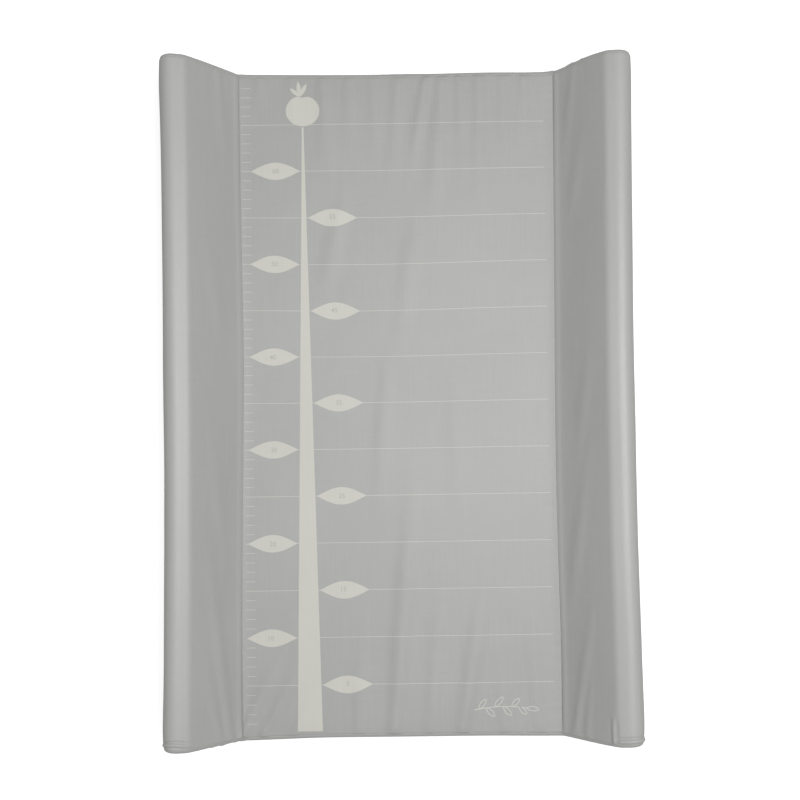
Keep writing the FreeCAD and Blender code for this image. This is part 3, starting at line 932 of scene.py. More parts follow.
def straight(x0, y0, x1, y1, step=2.8 * MM):
    count = max(2, round(math.hypot(x1 - x0, y1 - y0) / step) + 1)
    return np.column_stack([np.linspace(x0, x1, count), np.linspace(y0, y1, count)])


# %% [markdown]
# ## Height scale
# The scale is thin lines right across the cloth with short ticks between them. Each one is a strip
# of ink that follows the draped cloth, so it dips and rises with it.

# %% Height scale: lines and ticks
SCALE_START = -350.3 * MM
LINE_LEFT, LINE_RIGHT = -165.5 * MM, 160.5 * MM
LINE_WIDTH, TICK_WIDTH, TICK_LENGTH = 0.6 * MM, 0.55 * MM, 9.6 * MM
line_parts = []
for k in range(1, 14):
    y = SCALE_START + 50 * k * MM
    line_parts.append(ribbon(straight(LINE_LEFT, y, LINE_RIGHT, y), LINE_WIDTH))
print_lines = joined("print_lines", line_parts, cut=True)
tick_parts = []
for centimetre in range(1, 70):
    if centimetre % 5:
        y = SCALE_START + centimetre * 10 * MM
        tick_left = LINE_LEFT + 0.4 * MM
        tick_parts.append(ribbon(straight(tick_left, y, tick_left + TICK_LENGTH, y), TICK_WIDTH))
print_ticks = joined("print_ticks", tick_parts, cut=True)
print(len(line_parts), "lines and", len(tick_parts), "ticks")

# %% [markdown]
# A slim tree trunk widens from the head to the foot, with a leaf every five centimetres, left and
# right in turn. Each leaf carries its number of centimetres. A plain round fruit sits on top.

# %% Trunk, leaves, numbers
TRUNK_TOP, TRUNK_FOOT = 297 * MM, -349 * MM


def trunk_edges(y):
    t = (y - TRUNK_FOOT) / (TRUNK_TOP - TRUNK_FOOT)
    return (-112.0 + 11.9 * t) * MM, (-85.5 - 12.7 * t) * MM


trunk_rows = np.linspace(TRUNK_FOOT, TRUNK_TOP, 230)
trunk_left, trunk_right = (edge[:, None] for edge in trunk_edges(trunk_rows))
shares = np.linspace(0, 1, 9)
trunk_x = trunk_left * (1 - shares) + trunk_right * shares
trunk_flat = np.stack([trunk_x, np.broadcast_to(trunk_rows[:, None], trunk_x.shape)], -1)
trunk_points = np.array(laid(trunk_flat.reshape(-1, 2), SHAPE_LIFT)).reshape(*trunk_x.shape, 3)
print_trunk = cloth_grid("print_trunk", trunk_points, trunk_flat)

LEAF_LENGTH, LEAF_WIDTH, LEAF_GAP = 54 * MM, 18.8 * MM, 1.0 * MM
leaf_parts, number_places = [], []
for step in range(1, 13):
    y = SCALE_START + step * 50 * MM
    left, right = trunk_edges(y)
    off = LEAF_GAP + LEAF_LENGTH / 2
    middle = left - off if step % 2 == 0 else right + off
    u = np.linspace(-1, 1, 21)
    edge = LEAF_WIDTH / 2 * np.cos(u * math.pi / 2) ** 1.12
    lower = np.column_stack([middle + u * LEAF_LENGTH / 2, y - edge])
    upper = np.column_stack([middle - u * LEAF_LENGTH / 2, y + edge])
    leaf_parts.append(filled_shape(np.vstack([lower[:-1], upper[:-1]])))
    number_places.append((str(5 * step), middle, y))
print_leaves = joined("print_leaves", leaf_parts, cut=True)
print("leaves carry", [n for n, _, _ in number_places])


def number_part(words, x, y, height):
    """The faces of a short number, centred at (x, y)."""
    curve = bpy.data.curves.new("number", "FONT")
    curve.body, curve.size = words, height / 0.70
    curve.align_x, curve.align_y = "CENTER", "CENTER"
    holder = bpy.data.objects.new("number", curve)
    bpy.context.collection.objects.link(holder)
    mesh = bpy.data.meshes.new_from_object(holder)
    middle = sum((v.co for v in mesh.vertices), Vector()) / len(mesh.vertices)
    flat = [(x + v.co.x - middle.x, y + v.co.y - middle.y) for v in mesh.vertices]
    faces = [tuple(p.vertices) for p in mesh.polygons]
    bpy.data.objects.remove(holder)
    bpy.data.meshes.remove(mesh)
    bpy.data.curves.remove(curve)
    return laid(flat, NUMBER_LIFT), faces


NUMBER_HEIGHT = 5.0 * MM
number_parts = [number_part(words, x, y, NUMBER_HEIGHT) for words, x, y in number_places]
print_numbers = joined("print_numbers", number_parts, cut=True)
print("numbers have", len(print_numbers.data.polygons), "faces")

# %% [markdown]
# ## Fruit and sprig
# Both are drawn from outlines. The fruit and its leaves are filled shapes. The sprig is line work:
# strips of ink follow its stem and the edge of each leaf.

# %% A round fruit and a sprig


def slim_leaf(x, y, length, width, angle):
    """The outline of a pointed leaf that starts at (x, y) and leans by angle, in degrees."""
    u = np.linspace(0, 1, 11)
    half = width / 2 * np.sin(u * math.pi) ** 0.8
    outline = np.vstack([np.column_stack([u * length, -half])[:-1],
                         np.column_stack([(u * length)[::-1], half[::-1]])[:-1]])
    a = math.radians(angle)
    turned = outline @ np.array([[math.cos(a), math.sin(a)], [-math.sin(a), math.cos(a)]])
    return turned + (x, y)


turn = np.linspace(0, 2 * math.pi, 40, endpoint=False)
fruit_x, fruit_y = -99 * MM, 314.5 * MM
fruit_outline = np.column_stack([
    fruit_x + 18.2 * MM * np.cos(turn), fruit_y + 16.6 * MM * np.sin(turn)
    - 2.2 * MM * np.exp(-(np.cos(turn) / 0.22) ** 2) * (np.sin(turn) > 0)])
stalk_x, stalk_y = fruit_x - 3 * MM, fruit_y + 14.0 * MM
fruit_parts = [filled_shape(fruit_outline)]
for length, width, angle in ((16, 4.6, 62), (17, 4.6, 96), (14, 4.2, 138)):
    outline = slim_leaf(stalk_x, stalk_y + 1.4 * MM, length * MM, width * MM, angle)
    fruit_parts.append(filled_shape(outline))
print_fruit = joined("print_fruit", fruit_parts, cut=True)

SPRIG_LINE = 0.9 * MM
stem_x = np.linspace(75, 131, 30)
stem_y = -329 + 3.2 * np.sin((stem_x - 75) / 56 * math.pi * 0.9)
sprig_parts = [ribbon(np.column_stack([stem_x, stem_y]) * MM, SPRIG_LINE)]
for place, length, angle in ((80, 13, 52), (88, 13, -46), (97, 14, 50), (106, 13, -48), (115, 12, 44),
                             (123, 11, -44), (131, 13, -6)):
    x, y = place * MM, np.interp(place, stem_x, stem_y) * MM
    outline = slim_leaf(x, y, length * MM, 4.6 * MM, angle)
    sprig_parts.append(ribbon(np.vstack([outline, outline[:1]]), SPRIG_LINE))
print_sprig = joined("print_sprig", sprig_parts, cut=True)
ink_prints = [print_lines, print_ticks, print_trunk, print_leaves, print_fruit, print_sprig]
print("ink films:", *(p.name for p in ink_prints))

# %% [markdown]
# ## The zip
# A coil zip is two woven tapes, each with a nylon thread wound along its edge. Loops from the two
# sides take turns along the middle, which is what holds them together. A helix gives that for
# nearly nothing: two windings half a turn apart. The tapes are twill, flat, and sewn behind the
# lips of the slot.

# %% Tapes and coils
ZIP_Z = sum(slot_z) / 2
COIL_PITCH, COIL_THREAD = 1.4 * MM, 0.29 * MM


def make_tape(name, low_z, high_z):
    x = np.linspace(-slot_x - 1 * MM, slot_x + 1 * MM, 150)
    z = np.linspace(low_z, high_z, 7)
    px, pz = np.meshgrid(x, z)
    wave = 0.10 * MM * np.sin(px * 61 + pz * 90) + 0.08 * MM * np.sin(px * 23)
    py = tape_y - 0.1 * MM + wave * smooth_step(0, 3 * MM, np.abs(pz - ZIP_Z) - 1 * MM)
    return cloth_grid(name, np.stack([px, py, pz], -1)[:, ::-1], np.stack([px, pz], -1)[:, ::-1])


upper_tape = make_tape("zip_tape_upper", ZIP_Z + 0.45 * MM, slot_z[1] + 0.6 * MM)
lower_tape = make_tape("zip_tape_lower", slot_z[0] - 0.6 * MM, ZIP_Z - 0.45 * MM)

coil_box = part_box("zip_upper_coil")


def make_coil(name, side):
    """One wound thread; side is 1 above the middle and -1 below."""
    low, high = coil_box[0][0], coil_box[1][0]
    turns = (high - low) / COIL_PITCH
    count = int(turns * 11)
    t = np.linspace(0, turns, count)
    angle = 2 * math.pi * t + (0 if side > 0 else math.pi)
    reach_z, reach_y = 1.18 * MM, 0.52 * MM
    z = ZIP_Z + side * 0.98 * MM + reach_z * np.cos(angle)
    y = (coil_box[0][1] + coil_box[1][1]) / 2 + reach_y * np.sin(angle)
    x = low + t * COIL_PITCH
    return joined(name, [tube(np.column_stack([x, y, z]), COIL_THREAD, 5)])


upper_coil = make_coil("zip_coil_upper", 1)
lower_coil = make_coil("zip_coil_lower", -1)
core_parts = []
for side in (1, -1):
    x = np.linspace(coil_box[0][0], coil_box[1][0], 60)
    y = 0 * x + (coil_box[0][1] + coil_box[1][1]) / 2
    z = 0 * x + ZIP_Z + side * 1.25 * MM
    core_parts.append(tube(np.column_stack([x, y, z]), 0.42 * MM))
coil_core = joined("zip_coil_core", core_parts)
print("coils have", len(upper_coil.data.polygons), "faces each")

# %% [markdown]
# The slider, its bridge, the pull and the stops keep the shapes that they were designed with. Die
# cast and stamped parts never have knife edges, though, so each one is copied and its edges are
# given a small bevel that catches the light.

# %% Slider, pull and stops


def softened(node, name, bevel):
    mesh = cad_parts[node].data.copy()
    mesh.materials.clear()
    shape = bmesh.new()
    shape.from_mesh(mesh)
    bmesh.ops.remove_doubles(shape, verts=shape.verts, dist=1e-6)
    bmesh.ops.dissolve_limit(shape, angle_limit=math.radians(2), verts=shape.verts, edges=shape.edges)
    sharp = [e for e in shape.edges if len(e.link_faces) == 2 and e.calc_face_angle() > math.radians(40)]
    bmesh.ops.bevel(shape, geom=sharp, offset=bevel, segments=2, profile=0.7, affect="EDGES",
                    clamp_overlap=True)
    for face in shape.faces:
        face.smooth = True
    shape.to_mesh(mesh)
    shape.free()
    mesh.name = name
    piece = bpy.data.objects.new(name, mesh)
    bpy.context.collection.objects.link(piece)
    modifier = piece.modifiers.new("flat faces stay flat", "WEIGHTED_NORMAL")
    modifier.keep_sharp = True
    return piece


metal_pieces = {}
for node, name, body, bevel in (
        ("zip_slider_body", "slider_plates", "slider", 0.25),
        ("zip_slider_bridge", "slider_crown", "slider", 0.3),
        ("zip_pull", "pull_tab", "pull", 0.22),
        ("zip_top_stops", "top_stops", "pad", 0.18),
        ("zip_bottom_stop", "bottom_stop", "pad", 0.25)):
    metal_pieces[node] = (softened(node, name, bevel * MM), body)
    print(name, "has", len(metal_pieces[node][0].data.polygons), "faces")

# %% [markdown]
# ## Stitching
# The lips of the slot are held down by a row of topstitching all round. Each stitch is a short
# length of thread that dips into the cloth at both ends.

# %% Topstitching round the slot
STITCH_PITCH, STITCH_LENGTH, STITCH_DIP, THREAD = 3.2 * MM, 2.5 * MM, 0.35 * MM, 0.20 * MM


def wall_surface(*pieces):
    points, faces = [], []
    for piece in pieces:
        faces += [tuple(i + len(points) for i in p.vertices) for p in piece.data.polygons]
        points += [v.co.copy() for v in piece.data.vertices]
    return BVHTree.FromPolygons(points, faces)


head_surface = wall_surface(head_wall, head_strip)


def head_y(x, z):
    hit, _, _, _ = head_surface.ray_cast(Vector((x, 0.5, z)), Vector((0, -1, 0)))
    return hit.y


def stitch(start, end):
    """One stitch between two (x, z) places on the head wall."""
    shares = np.array([0, 0.12, 0.3, 0.5, 0.7, 0.88, 1])
    lift = np.array([-STITCH_DIP, 0.04 * MM, 0.17 * MM, 0.2 * MM, 0.17 * MM, 0.04 * MM, -STITCH_DIP])
    flat = np.array(start) + shares[:, None] * (np.array(end) - np.array(start))
    return tube([(x, head_y(x, z) + up, z) for (x, z), up in zip(flat, lift)], THREAD)


def stitched_line(loop):
    """Stitches at an even pitch along a closed line of (x, z) places."""
    loop = np.vstack([loop, loop[:1]])
    runs = np.concatenate([[0], np.cumsum(np.linalg.norm(np.diff(loop, axis=0), axis=1))])
    starts = np.arange(0, runs[-1] - STITCH_LENGTH, STITCH_PITCH)

    def place(at):
        return np.interp(at, runs, loop[:, 0]), np.interp(at, runs, loop[:, 1])

    return [stitch(place(a), place(a + STITCH_LENGTH)) for a in starts]


slot_stitches = joined("slot_topstitching", stitched_line(slot_loop(3.6 * MM, 4 * MM)))
print("stitches have", len(slot_stitches.data.polygons), "faces")

# %% [markdown]
# ## Care label
# A small satin label is sewn to the head wall by its two short ends, so its middle stands off the
# wall a little. It is left blank.

# %% Label
label_low, label_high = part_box("care_label")


def make_label():
    x = np.linspace(label_low[0], label_high[0], 34)
    z = np.linspace(label_low[2], label_high[2], 16)
    px, pz = np.meshgrid(x, z)
    u = (px - x[0]) / (x[-1] - x[0])
    v = (pz - z[0]) / (z[-1] - z[0])
    wall = np.array([[head_y(a, b) for a in x] for b in z])
    free = np.sin(np.clip((u - 0.08) / 0.84, 0, 1) * math.pi) ** 0.7
    off = 0.55 * MM + free * (1.0 + 0.9 * (1 - v) ** 2) * MM + 0.12 * MM * np.sin(u * 21 + v * 3)
    sag = -0.35 * MM * free * (1 - v)
    return cloth_grid("satin_label", np.stack([px, wall + off, pz + sag], -1)[:, ::-1],
                      np.stack([px, pz], -1)[:, ::-1])


care_label = make_label()
thick = care_label.modifiers.new("cloth thickness", "SOLIDIFY")
thick.thickness, thick.offset = 0.25 * MM, -1
label_surface = wall_surface(care_label)


def label_stitches():
    parts = []
    for x in (label_low[0] + 1.5 * MM, label_high[0] - 1.5 * MM):
        for z in np.arange(label_low[2] + 0.8 * MM, label_high[2] - 2.2 * MM, 2.2 * MM):
            path = []
            for share, up in ((0, -0.3), (0.15, 0.05), (0.5, 0.15), (0.85, 0.05), (1, -0.3)):
                height = z + share * 1.6 * MM
                hit, _, _, _ = label_surface.ray_cast(Vector((x, 0.5, height)), Vector((0, -1, 0)))
                path.append((x, hit.y + up * MM, height))
            parts.append(tube(path, 0.14 * MM, 5))
    return joined("label_stitches", parts)


label_thread = label_stitches()
print("label:", len(care_label.data.polygons), "faces")

# %% [markdown]
# ## Finishes
# A finish is made of effects that several materials share: weave, slubs and shade drift, small
# creases, wear on edges. Each effect is a node group that gives a number, and each material mixes
# those numbers into its own colour, roughness and bump.

# %% Node group helpers


class Nodes:
    """A short way to add and link nodes in one node tree."""

    def __init__(self, tree):
        self.tree = tree

    def add(self, kind, settings=None, **links):
        node = self.tree.nodes.new(kind)
        for key, value in (settings or {}).items():
            setattr(node, key, value)
        for key, value in links.items():
            place = int(key[1:]) if key[1:].isdigit() else key.replace("_", " ")
            socket = node.inputs[place]
            if isinstance(value, bpy.types.NodeSocket):
                self.tree.links.new(value, socket)
            else:
                socket.default_value = value
        return node

    def link(self, value, socket):
        self.tree.links.new(value, socket)

    def math(self, operation, a, b=0.0):
        return self.add("ShaderNodeMath", {"operation": operation}, i0=a, i1=b).outputs[0]

    def weighed(self, *terms):
        """The sum of several values, each times its weight."""
        parts = [self.math("MULTIPLY", value, weight) for value, weight in terms]
        total = parts[0]
        for part in parts[1:]:
            total = self.math("ADD", total, part)
        return total

    def noise(self, place, scale, detail=2.0, roughness=0.5):
        return self.add("ShaderNodeTexNoise", Vector=place, Scale=scale, Detail=detail,
                        Roughness=roughness).outputs["Fac"]

    def stretched(self, place, across, along):
        return self.add("ShaderNodeMapping", Vector=place, Scale=(across, along, 1.0)).outputs[0]

    def between(self, value, low, high, to_low=0.0, to_high=1.0):
        node = self.add("ShaderNodeMapRange", i0=value, i1=low, i2=high, i3=to_low, i4=to_high)
        return node.outputs[0]


def new_group(name, inputs, outputs):
    tree = bpy.data.node_groups.new(name, "ShaderNodeTree")
    for label, value in inputs:
        socket = tree.interface.new_socket(label, in_out="INPUT", socket_type="NodeSocketFloat")
        socket.default_value = value
    for label in outputs:
        tree.interface.new_socket(label, in_out="OUTPUT", socket_type="NodeSocketFloat")
    nodes = Nodes(tree)
    return nodes, nodes.add("NodeGroupInput").outputs, nodes.add("NodeGroupOutput").inputs


# %% [markdown]
# ## Weave
# Warp and weft are two sine ridges at right angles, and a chequer of their steps decides which one
# lies on top. The same group makes a plain weave or a twill.

# %% Weave
def build_weave():
    """Threads that pass over and under each other. Twill shifts the pattern by one thread a row."""
    n, given, out = new_group("weave", [("Threads per metre", 2200.0), ("Twill", 0.0)], ["Height"])
    place = n.add("ShaderNodeUVMap", {"uv_map": CUT_MAP}).outputs[0]
    parts = n.add("ShaderNodeSeparateXYZ", i0=place).outputs
    warp = n.math("MULTIPLY", parts[0], given["Threads per metre"])
    weft = n.math("MULTIPLY", parts[1], given["Threads per metre"])
    ridges = [n.math("ABSOLUTE", n.math("SINE", n.math("MULTIPLY", v, math.pi))) for v in (warp, weft)]
    steps = n.math("ADD", n.math("FLOOR", warp), n.math("FLOOR", weft))
    plain = n.math("FLOORED_MODULO", steps, 2.0)
    twill = n.math("LESS_THAN", n.math("FLOORED_MODULO", steps, 4.0), 2.0)
    over = n.add("ShaderNodeMix", i0=given["Twill"], i2=plain, i3=twill).outputs[0]
    top = n.add("ShaderNodeMix", i0=over, i2=ridges[0], i3=ridges[1]).outputs[0]
    n.link(top, out["Height"])


# %% [markdown]
# ## Slubs, drift and creases
# A real cloth is uneven in three ways: thick places in single threads, slow changes of tone over a
# hand width, and soft creases. Each is a group of its own, so every material can take its share.
# A last group finds edges that stick out, where metal is rubbed.

# %% Slubs, drift and creases
def build_slubs():
    """Uneven yarns show as faint streaks along and across the cloth."""
    n, given, out = new_group("slubs", [("Fineness", 1.0)], ["Along", "Across"])
    place = n.add("ShaderNodeUVMap", {"uv_map": CUT_MAP}).outputs[0]
    along = n.noise(n.stretched(place, 620.0, 14.0), given["Fineness"], 3.0, 0.6)
    across = n.noise(n.stretched(place, 16.0, 700.0), given["Fineness"], 3.0, 0.6)
    n.link(along, out["Along"])
    n.link(across, out["Across"])


def build_drift():
    """Slow change of shade over a surface, and a fine speckle."""
    n, given, out = new_group("drift", [("Size", 0.1)], ["Slow", "Fine"])
    place = n.add("ShaderNodeTexCoord").outputs["Object"]
    slow = n.noise(place, n.math("DIVIDE", 1.0, given["Size"]), 2.0)
    fine = n.noise(place, n.math("DIVIDE", 24.0, given["Size"]), 3.0, 0.65)
    n.link(slow, out["Slow"])
    n.link(fine, out["Fine"])


def build_creases():
    """Small soft creases, longer along the pad than across it."""
    n, given, out = new_group("small creases", [("Size", 0.02)], ["Height"])
    place = n.add("ShaderNodeUVMap", {"uv_map": CUT_MAP}).outputs[0]
    bend = n.noise(place, 9.0, 1.0)
    swing = n.add("ShaderNodeCombineXYZ", i0=n.math("MULTIPLY", bend, 0.05)).outputs[0]
    moved = n.add("ShaderNodeVectorMath", {"operation": "ADD"}, i0=place, i1=swing).outputs[0]
    folds = n.noise(n.stretched(moved, 1.0, 0.22), n.math("DIVIDE", 1.0, given["Size"]), 3.0, 0.55)
    n.link(folds, out["Height"])


def build_edge_wear():
    """Where edges stick out they are rubbed: 1 on worn edges, 0 elsewhere."""
    n, given, out = new_group("edge wear", [("Width", 0.0004)], ["Worn"])
    place = n.add("ShaderNodeTexCoord").outputs["Object"]
    soft = n.add("ShaderNodeBevel", {"samples": 6}, i0=given["Width"]).outputs[0]
    plain = n.add("ShaderNodeNewGeometry").outputs["Normal"]
    turn = n.add("ShaderNodeVectorMath", {"operation": "DOT_PRODUCT"}, i0=soft, i1=plain)
    rubbed = n.between(turn.outputs["Value"], 0.995, 0.90)
    patchy = n.between(n.noise(place, 900.0, 3.0), 0.35, 0.65)
    n.link(n.math("MULTIPLY", rubbed, patchy), out["Worn"])


for build in (build_weave, build_slubs, build_drift, build_creases, build_edge_wear):
    build()
print("node groups:", *(g.name for g in bpy.data.node_groups))

# %% [markdown]
# ## Cloth
# The cover is a tight plain weave with a smooth wipeable face. The weave is finer than half a
# millimetre, so from a step away it shows only as a soft texture and faint streaks. The face has
# a low sheen. Over the bolsters and the end walls the cloth is stretched and a little smoother,
# and its colour is painted paler there, as a painted highlight, so they have a material of their own.
# The inks are cloth too, without a sheen.

# %% Cloth materials


def new_material(name, **settings):
    material = bpy.data.materials.new(name)
    material.use_nodes = True
    shader = material.node_tree.nodes["Principled BSDF"]
    for key, value in settings.items():
        shader.inputs[key.replace("_", " ")].default_value = value
    return material, Nodes(material.node_tree), shader


def use_group(n, name, **values):
    node = n.tree.nodes.new("ShaderNodeGroup")
    node.node_tree = bpy.data.node_groups[name]
    for key, value in values.items():
        node.inputs[key.replace("_", " ")].default_value = value
    return node.outputs


def colour_between(n, mask, dark, light):
    mix = n.add("ShaderNodeMix", {"data_type": "RGBA"}, i0=mask, i6=(*dark, 1), i7=(*light, 1))
    return mix.outputs[2]


def bump_chain(n, shader, layers):
    """Several heights, each (value, distance in metres, strength), one after another."""
    below = None
    for height, distance, strength in layers:
        bump = n.add("ShaderNodeBump", Height=height, Distance=distance, Strength=strength)
        if below is not None:
            n.link(below, bump.inputs["Normal"])
        below = bump.outputs[0]
    n.link(below, shader.inputs["Normal"])


def cloth_material(name, dark, light, roughness, threads=2200.0, twill=0.0, crease=0.25,
                   weave_depth=0.05, **settings):
    material, n, shader = new_material(name, **settings)
    slubs = use_group(n, "slubs")
    drift = use_group(n, "drift", Size=0.16)
    weave = use_group(n, "weave", Threads_per_metre=threads, Twill=twill)
    creases = use_group(n, "small creases", Size=0.045)
    shade = n.weighed((slubs["Along"], 0.34), (slubs["Across"], 0.22), (drift["Slow"], 0.30),
                      (weave["Height"], 0.14))
    colour = colour_between(n, n.between(shade, 0.25, 0.75), dark, light)
    n.link(colour, shader.inputs["Base Color"])
    rough = n.weighed((drift["Fine"], 0.10), (slubs["Along"], 0.08))
    n.link(n.math("ADD", rough, roughness - 0.09), shader.inputs["Roughness"])
    bump_chain(n, shader, [(creases["Height"], 0.9 * MM, crease), (slubs["Along"], 0.06 * MM, 0.35),
                           (weave["Height"], weave_depth * MM, 0.5)])
    return material


cover_cloth = cloth_material("grey coated cotton", (0.316, 0.320, 0.308), (0.375, 0.379, 0.366), 0.46,
                             Sheen_Weight=0.10, Sheen_Roughness=0.4, Specular_IOR_Level=0.5)
# Its colours are painted paler than the cover's: painted light, so the bolsters and end walls read
# brighter.
tight_cloth_painted_paler = cloth_material("grey coated cotton, stretched, painted paler",
                             (0.357, 0.360, 0.348), (0.413, 0.416, 0.403), 0.39,
                             Sheen_Weight=0.10, Sheen_Roughness=0.4, Specular_IOR_Level=0.5)
print_ink = cloth_material("pale screen ink", (0.495, 0.490, 0.450), (0.560, 0.554, 0.508), 0.56,
                           crease=0.2, weave_depth=0.03, Specular_IOR_Level=0.35)
number_ink = cloth_material("grey screen ink", (0.375, 0.374, 0.358), (0.425, 0.424, 0.406), 0.56,
                            crease=0.2, weave_depth=0.03, Specular_IOR_Level=0.35)
base_cloth = cloth_material("base lining", (0.250, 0.252, 0.248), (0.320, 0.322, 0.316), 0.72,
                            threads=1500.0, weave_depth=0.10, Specular_IOR_Level=0.3)
tape_cloth = cloth_material("zip tape twill", (0.300, 0.302, 0.296), (0.390, 0.392, 0.384), 0.78,
                            threads=1900.0, twill=1.0, crease=0.12, weave_depth=0.12,
                            Sheen_Weight=0.2, Sheen_Roughness=0.5)
label_satin = cloth_material("white satin label", (0.70, 0.70, 0.68), (0.80, 0.80, 0.78), 0.34,
                             threads=4200.0, twill=1.0, crease=0.10, weave_depth=0.03,
                             Sheen_Weight=0.25, Sheen_Roughness=0.3)
print("cloth:", *(m.name for m in (cover_cloth, print_ink, base_cloth, tape_cloth, label_satin)))

# %% [markdown]
# ## Thread, nylon, metal, foam
# Thread is a twist of fine filaments, so its bump runs round it in slanting lines. The coil is
# smooth clear-dyed nylon. The slider is zinc with a dull nickel plating that has rubbed bright on
# its edges. Foam is cream, matt and full of small open cells.

# %% Other materials
def thread_material():
    material, n, shader = new_material("sewing thread", Roughness=0.55, Sheen_Weight=0.3)
    place = n.add("ShaderNodeTexCoord").outputs["Object"]
    twist = n.add("ShaderNodeTexWave", {"bands_direction": "DIAGONAL"}, Vector=place, Scale=900.0,
                  Distortion=1.5).outputs["Fac"]
    tone = n.weighed((twist, 0.5), (use_group(n, "drift", Size=0.02)["Fine"], 0.5))
    colour = colour_between(n, tone, (0.30, 0.30, 0.295), (0.47, 0.47, 0.46))
    n.link(colour, shader.inputs["Base Color"])
    bump_chain(n, shader, [(twist, 0.05 * MM, 0.6)])
    return material


def nylon_material():
    material, n, shader = new_material("nylon coil", IOR=1.53, Coat_Weight=0.2, Coat_Roughness=0.2)
    drift = use_group(n, "drift", Size=0.03)
    colour = colour_between(n, drift["Slow"], (0.26, 0.262, 0.258), (0.36, 0.362, 0.356))
    n.link(colour, shader.inputs["Base Color"])
    n.link(n.between(drift["Fine"], 0.3, 0.7, 0.26, 0.42), shader.inputs["Roughness"])
    bump_chain(n, shader, [(drift["Fine"], 0.03 * MM, 0.4)])
    return material


def metal_material():
    material, n, shader = new_material("dull nickel plating", Metallic=1.0)
    worn = use_group(n, "edge wear", Width=0.35 * MM)["Worn"]
    drift = use_group(n, "drift", Size=0.006)
    shade = n.weighed((drift["Slow"], 0.5), (worn, 0.7))
    colour = colour_between(n, shade, (0.42, 0.42, 0.41), (0.80, 0.79, 0.76))
    n.link(colour, shader.inputs["Base Color"])
    rough = n.between(drift["Fine"], 0.3, 0.7, 0.30, 0.46)
    n.link(n.math("SUBTRACT", rough, n.math("MULTIPLY", worn, 0.14)), shader.inputs["Roughness"])
    bump_chain(n, shader, [(drift["Fine"], 0.03 * MM, 0.5)])
    return material


def foam_material():
    material, n, shader = new_material("cream foam", Roughness=0.92, Specular_IOR_Level=0.2)
    place = n.add("ShaderNodeTexCoord").outputs["Object"]
    cells = n.add("ShaderNodeTexVoronoi", Vector=place, Scale=900.0).outputs["Distance"]
    drift = use_group(n, "drift", Size=0.12)
    tone = n.weighed((cells, 0.6), (drift["Slow"], 0.4))
    colour = colour_between(n, tone, (0.60, 0.55, 0.42), (0.80, 0.75, 0.60))
    n.link(colour, shader.inputs["Base Color"])
    bump_chain(n, shader, [(cells, 0.5 * MM, 0.7)])
    return material


sewing_thread, coil_nylon, zip_nickel, cream_foam = (
    thread_material(), nylon_material(), metal_material(), foam_material())

# %% [markdown]
# ## Put it together
# Each piece gets its finish and the body that it moves with, and the designed parts that it stands
# for are hidden.

# %% Assign finishes and bodies


def finish_piece(piece, material, body="pad", stands_for=()):
    piece.data.materials.clear()
    piece.data.materials.append(material)
    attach(piece, body)
    if stands_for:
        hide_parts(*stands_for)


finish_piece(top_panel, cover_cloth, stands_for=["cover_top_panel"])
for label, piece in bolster_panels.items():
    finish_piece(piece, tight_cloth_painted_paler, stands_for=[f"cover_{label}_bolster_panel"])
    finish_piece(wedges[label], cream_foam, stands_for=[f"foam_{label}_wedge"])
finish_piece(foot_wall, tight_cloth_painted_paler, stands_for=["cover_foot_end_panel"])
finish_piece(head_wall, tight_cloth_painted_paler, stands_for=["cover_head_end_panel"])
finish_piece(head_strip, tight_cloth_painted_paler, stands_for=["cover_head_lower_strip"])
finish_piece(base_panel, base_cloth, stands_for=["cover_base_panel"])
finish_piece(foam_slab, cream_foam, stands_for=["foam_base_slab"])
for piece in ink_prints:
    finish_piece(piece, print_ink)
finish_piece(print_numbers, number_ink)
finish_piece(upper_tape, tape_cloth, stands_for=["zip_upper_tape"])
finish_piece(lower_tape, tape_cloth, stands_for=["zip_lower_tape"])
finish_piece(upper_coil, coil_nylon, stands_for=["zip_upper_coil"])
finish_piece(lower_coil, coil_nylon, stands_for=["zip_lower_coil"])
finish_piece(coil_core, sewing_thread)
finish_piece(slot_stitches, sewing_thread)
finish_piece(care_label, label_satin, stands_for=["care_label"])
finish_piece(label_thread, sewing_thread)
for node, (piece, body) in metal_pieces.items():
    finish_piece(piece, zip_nickel, body, [node])

# %% [markdown]
# ## Soft parts
# The cover panels, the base, the zip tapes and the care label are cloth. This cell only reads the
# end walls' outline again.

# %% Outline of the end walls again
end_place, _, _ = wall_loop()

# %% [markdown]
# ## Studio
# One soft round lamp hangs above the pad and a little to its right, which lights the left slope
# more than the right one. The surround fills the shadows, more from above than from the side, so
# that the crowns stand out from the outer walls. A white floor would throw more light up at the
# outer walls. This floor is a middling grey to the lamp, and a glow that only the camera sees
# brings it up to white, or very nearly so in the distance.

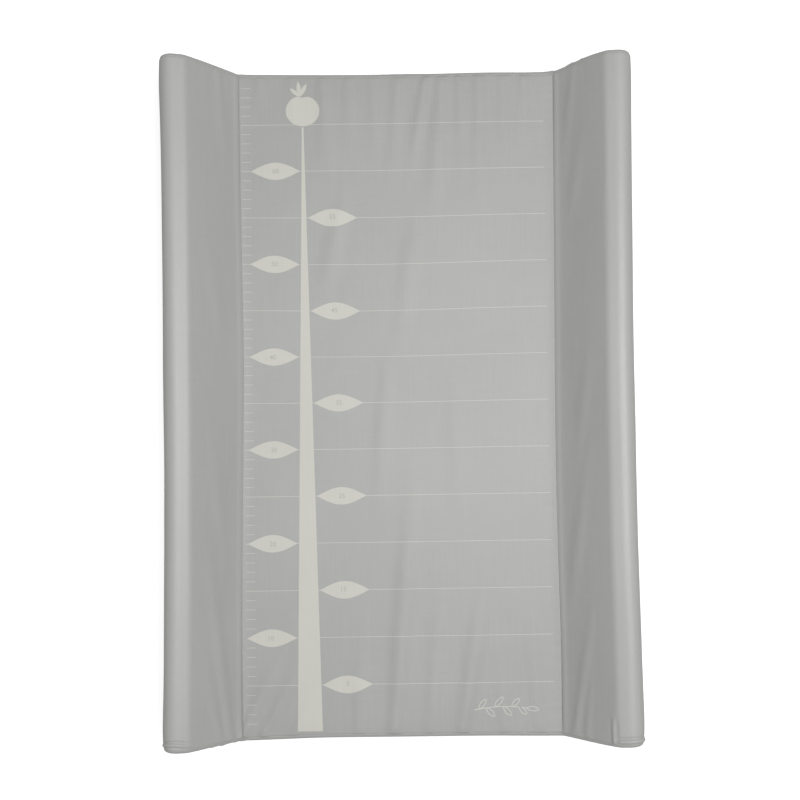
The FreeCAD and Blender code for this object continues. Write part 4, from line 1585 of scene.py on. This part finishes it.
# %% Floor and lights
FLOOR_REACH = 20
corners = [(FLOOR_REACH * x, FLOOR_REACH * y, 0) for x, y in ((-1, -1), (1, -1), (1, 1), (-1, 1))]
floor = new_piece("studio_floor", corners, [(0, 1, 2, 3)])
floor_material, n, floor_shader = new_material("matt white floor", Roughness=0.9,
                                               Specular_IOR_Level=0.1)
floor_shader.inputs["Base Color"].default_value = (0.52, 0.52, 0.52, 1)
floor_shader.inputs["Emission Strength"].default_value = 0.72
seen = n.add("ShaderNodeLightPath").outputs["Is Camera Ray"]
n.link(colour_between(n, seen, (0, 0, 0), (1, 1, 1)), floor_shader.inputs["Emission Color"])
floor.data.materials.append(floor_material)
floor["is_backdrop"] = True

LAMP_PLACE = Vector((0.34, 0.03, 1.75))
lamp_data = bpy.data.lights.new("key_lamp", "AREA")
lamp_data.shape = "DISK"
lamp_data.size = 0.76
lamp_data.energy = 21.5
key_lamp = bpy.data.objects.new("key_lamp", lamp_data)
key_lamp.location = LAMP_PLACE
key_lamp.rotation_euler = (-LAMP_PLACE).to_track_quat("-Z", "Y").to_euler()
bpy.context.collection.objects.link(key_lamp)
print("key lamp", tuple(round(v, 2) for v in key_lamp.location))

# %% [markdown]
# ## Surround
# The surround is plain white to the camera. For the light it gives it is greyer, and brighter above
# than at the horizon.

# %% Surround
FROM_SIDE, FROM_ABOVE = 0.24, 0.54      # strength of the fill light
surround = bpy.data.worlds.new("white surround")
surround.use_nodes = True
n = Nodes(surround.node_tree)
seen = n.add("ShaderNodeLightPath").outputs["Is Camera Ray"]
direction = n.add("ShaderNodeTexCoord").outputs["Generated"]
up = n.add("ShaderNodeSeparateXYZ", i0=direction).outputs["Z"]
fill = n.between(up, 0.0, 1.0, FROM_SIDE, FROM_ABOVE)
backdrop = surround.node_tree.nodes["Background"]
backdrop.inputs["Color"].default_value = (1, 1, 1, 1)
n.link(n.math("MAXIMUM", seen, fill), backdrop.inputs["Strength"])
bpy.context.scene.world = surround
bpy.context.scene.view_settings.view_transform = "Standard"
print("the fill is", FROM_SIDE, "from the side and", FROM_ABOVE, "from above")

# %% [markdown]
# ## Sizes
# The finished cloth stands a few millimetres off the designed shape, so both sizes are printed.

# %% Print both sizes
visual_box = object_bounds()
for name, (low, high) in (("designed", cad_box), ("finished", visual_box)):
    print(name, "size:", " x ".join(f"{(b - a) * 1000:.1f}" for a, b in zip(low, high)), "mm")
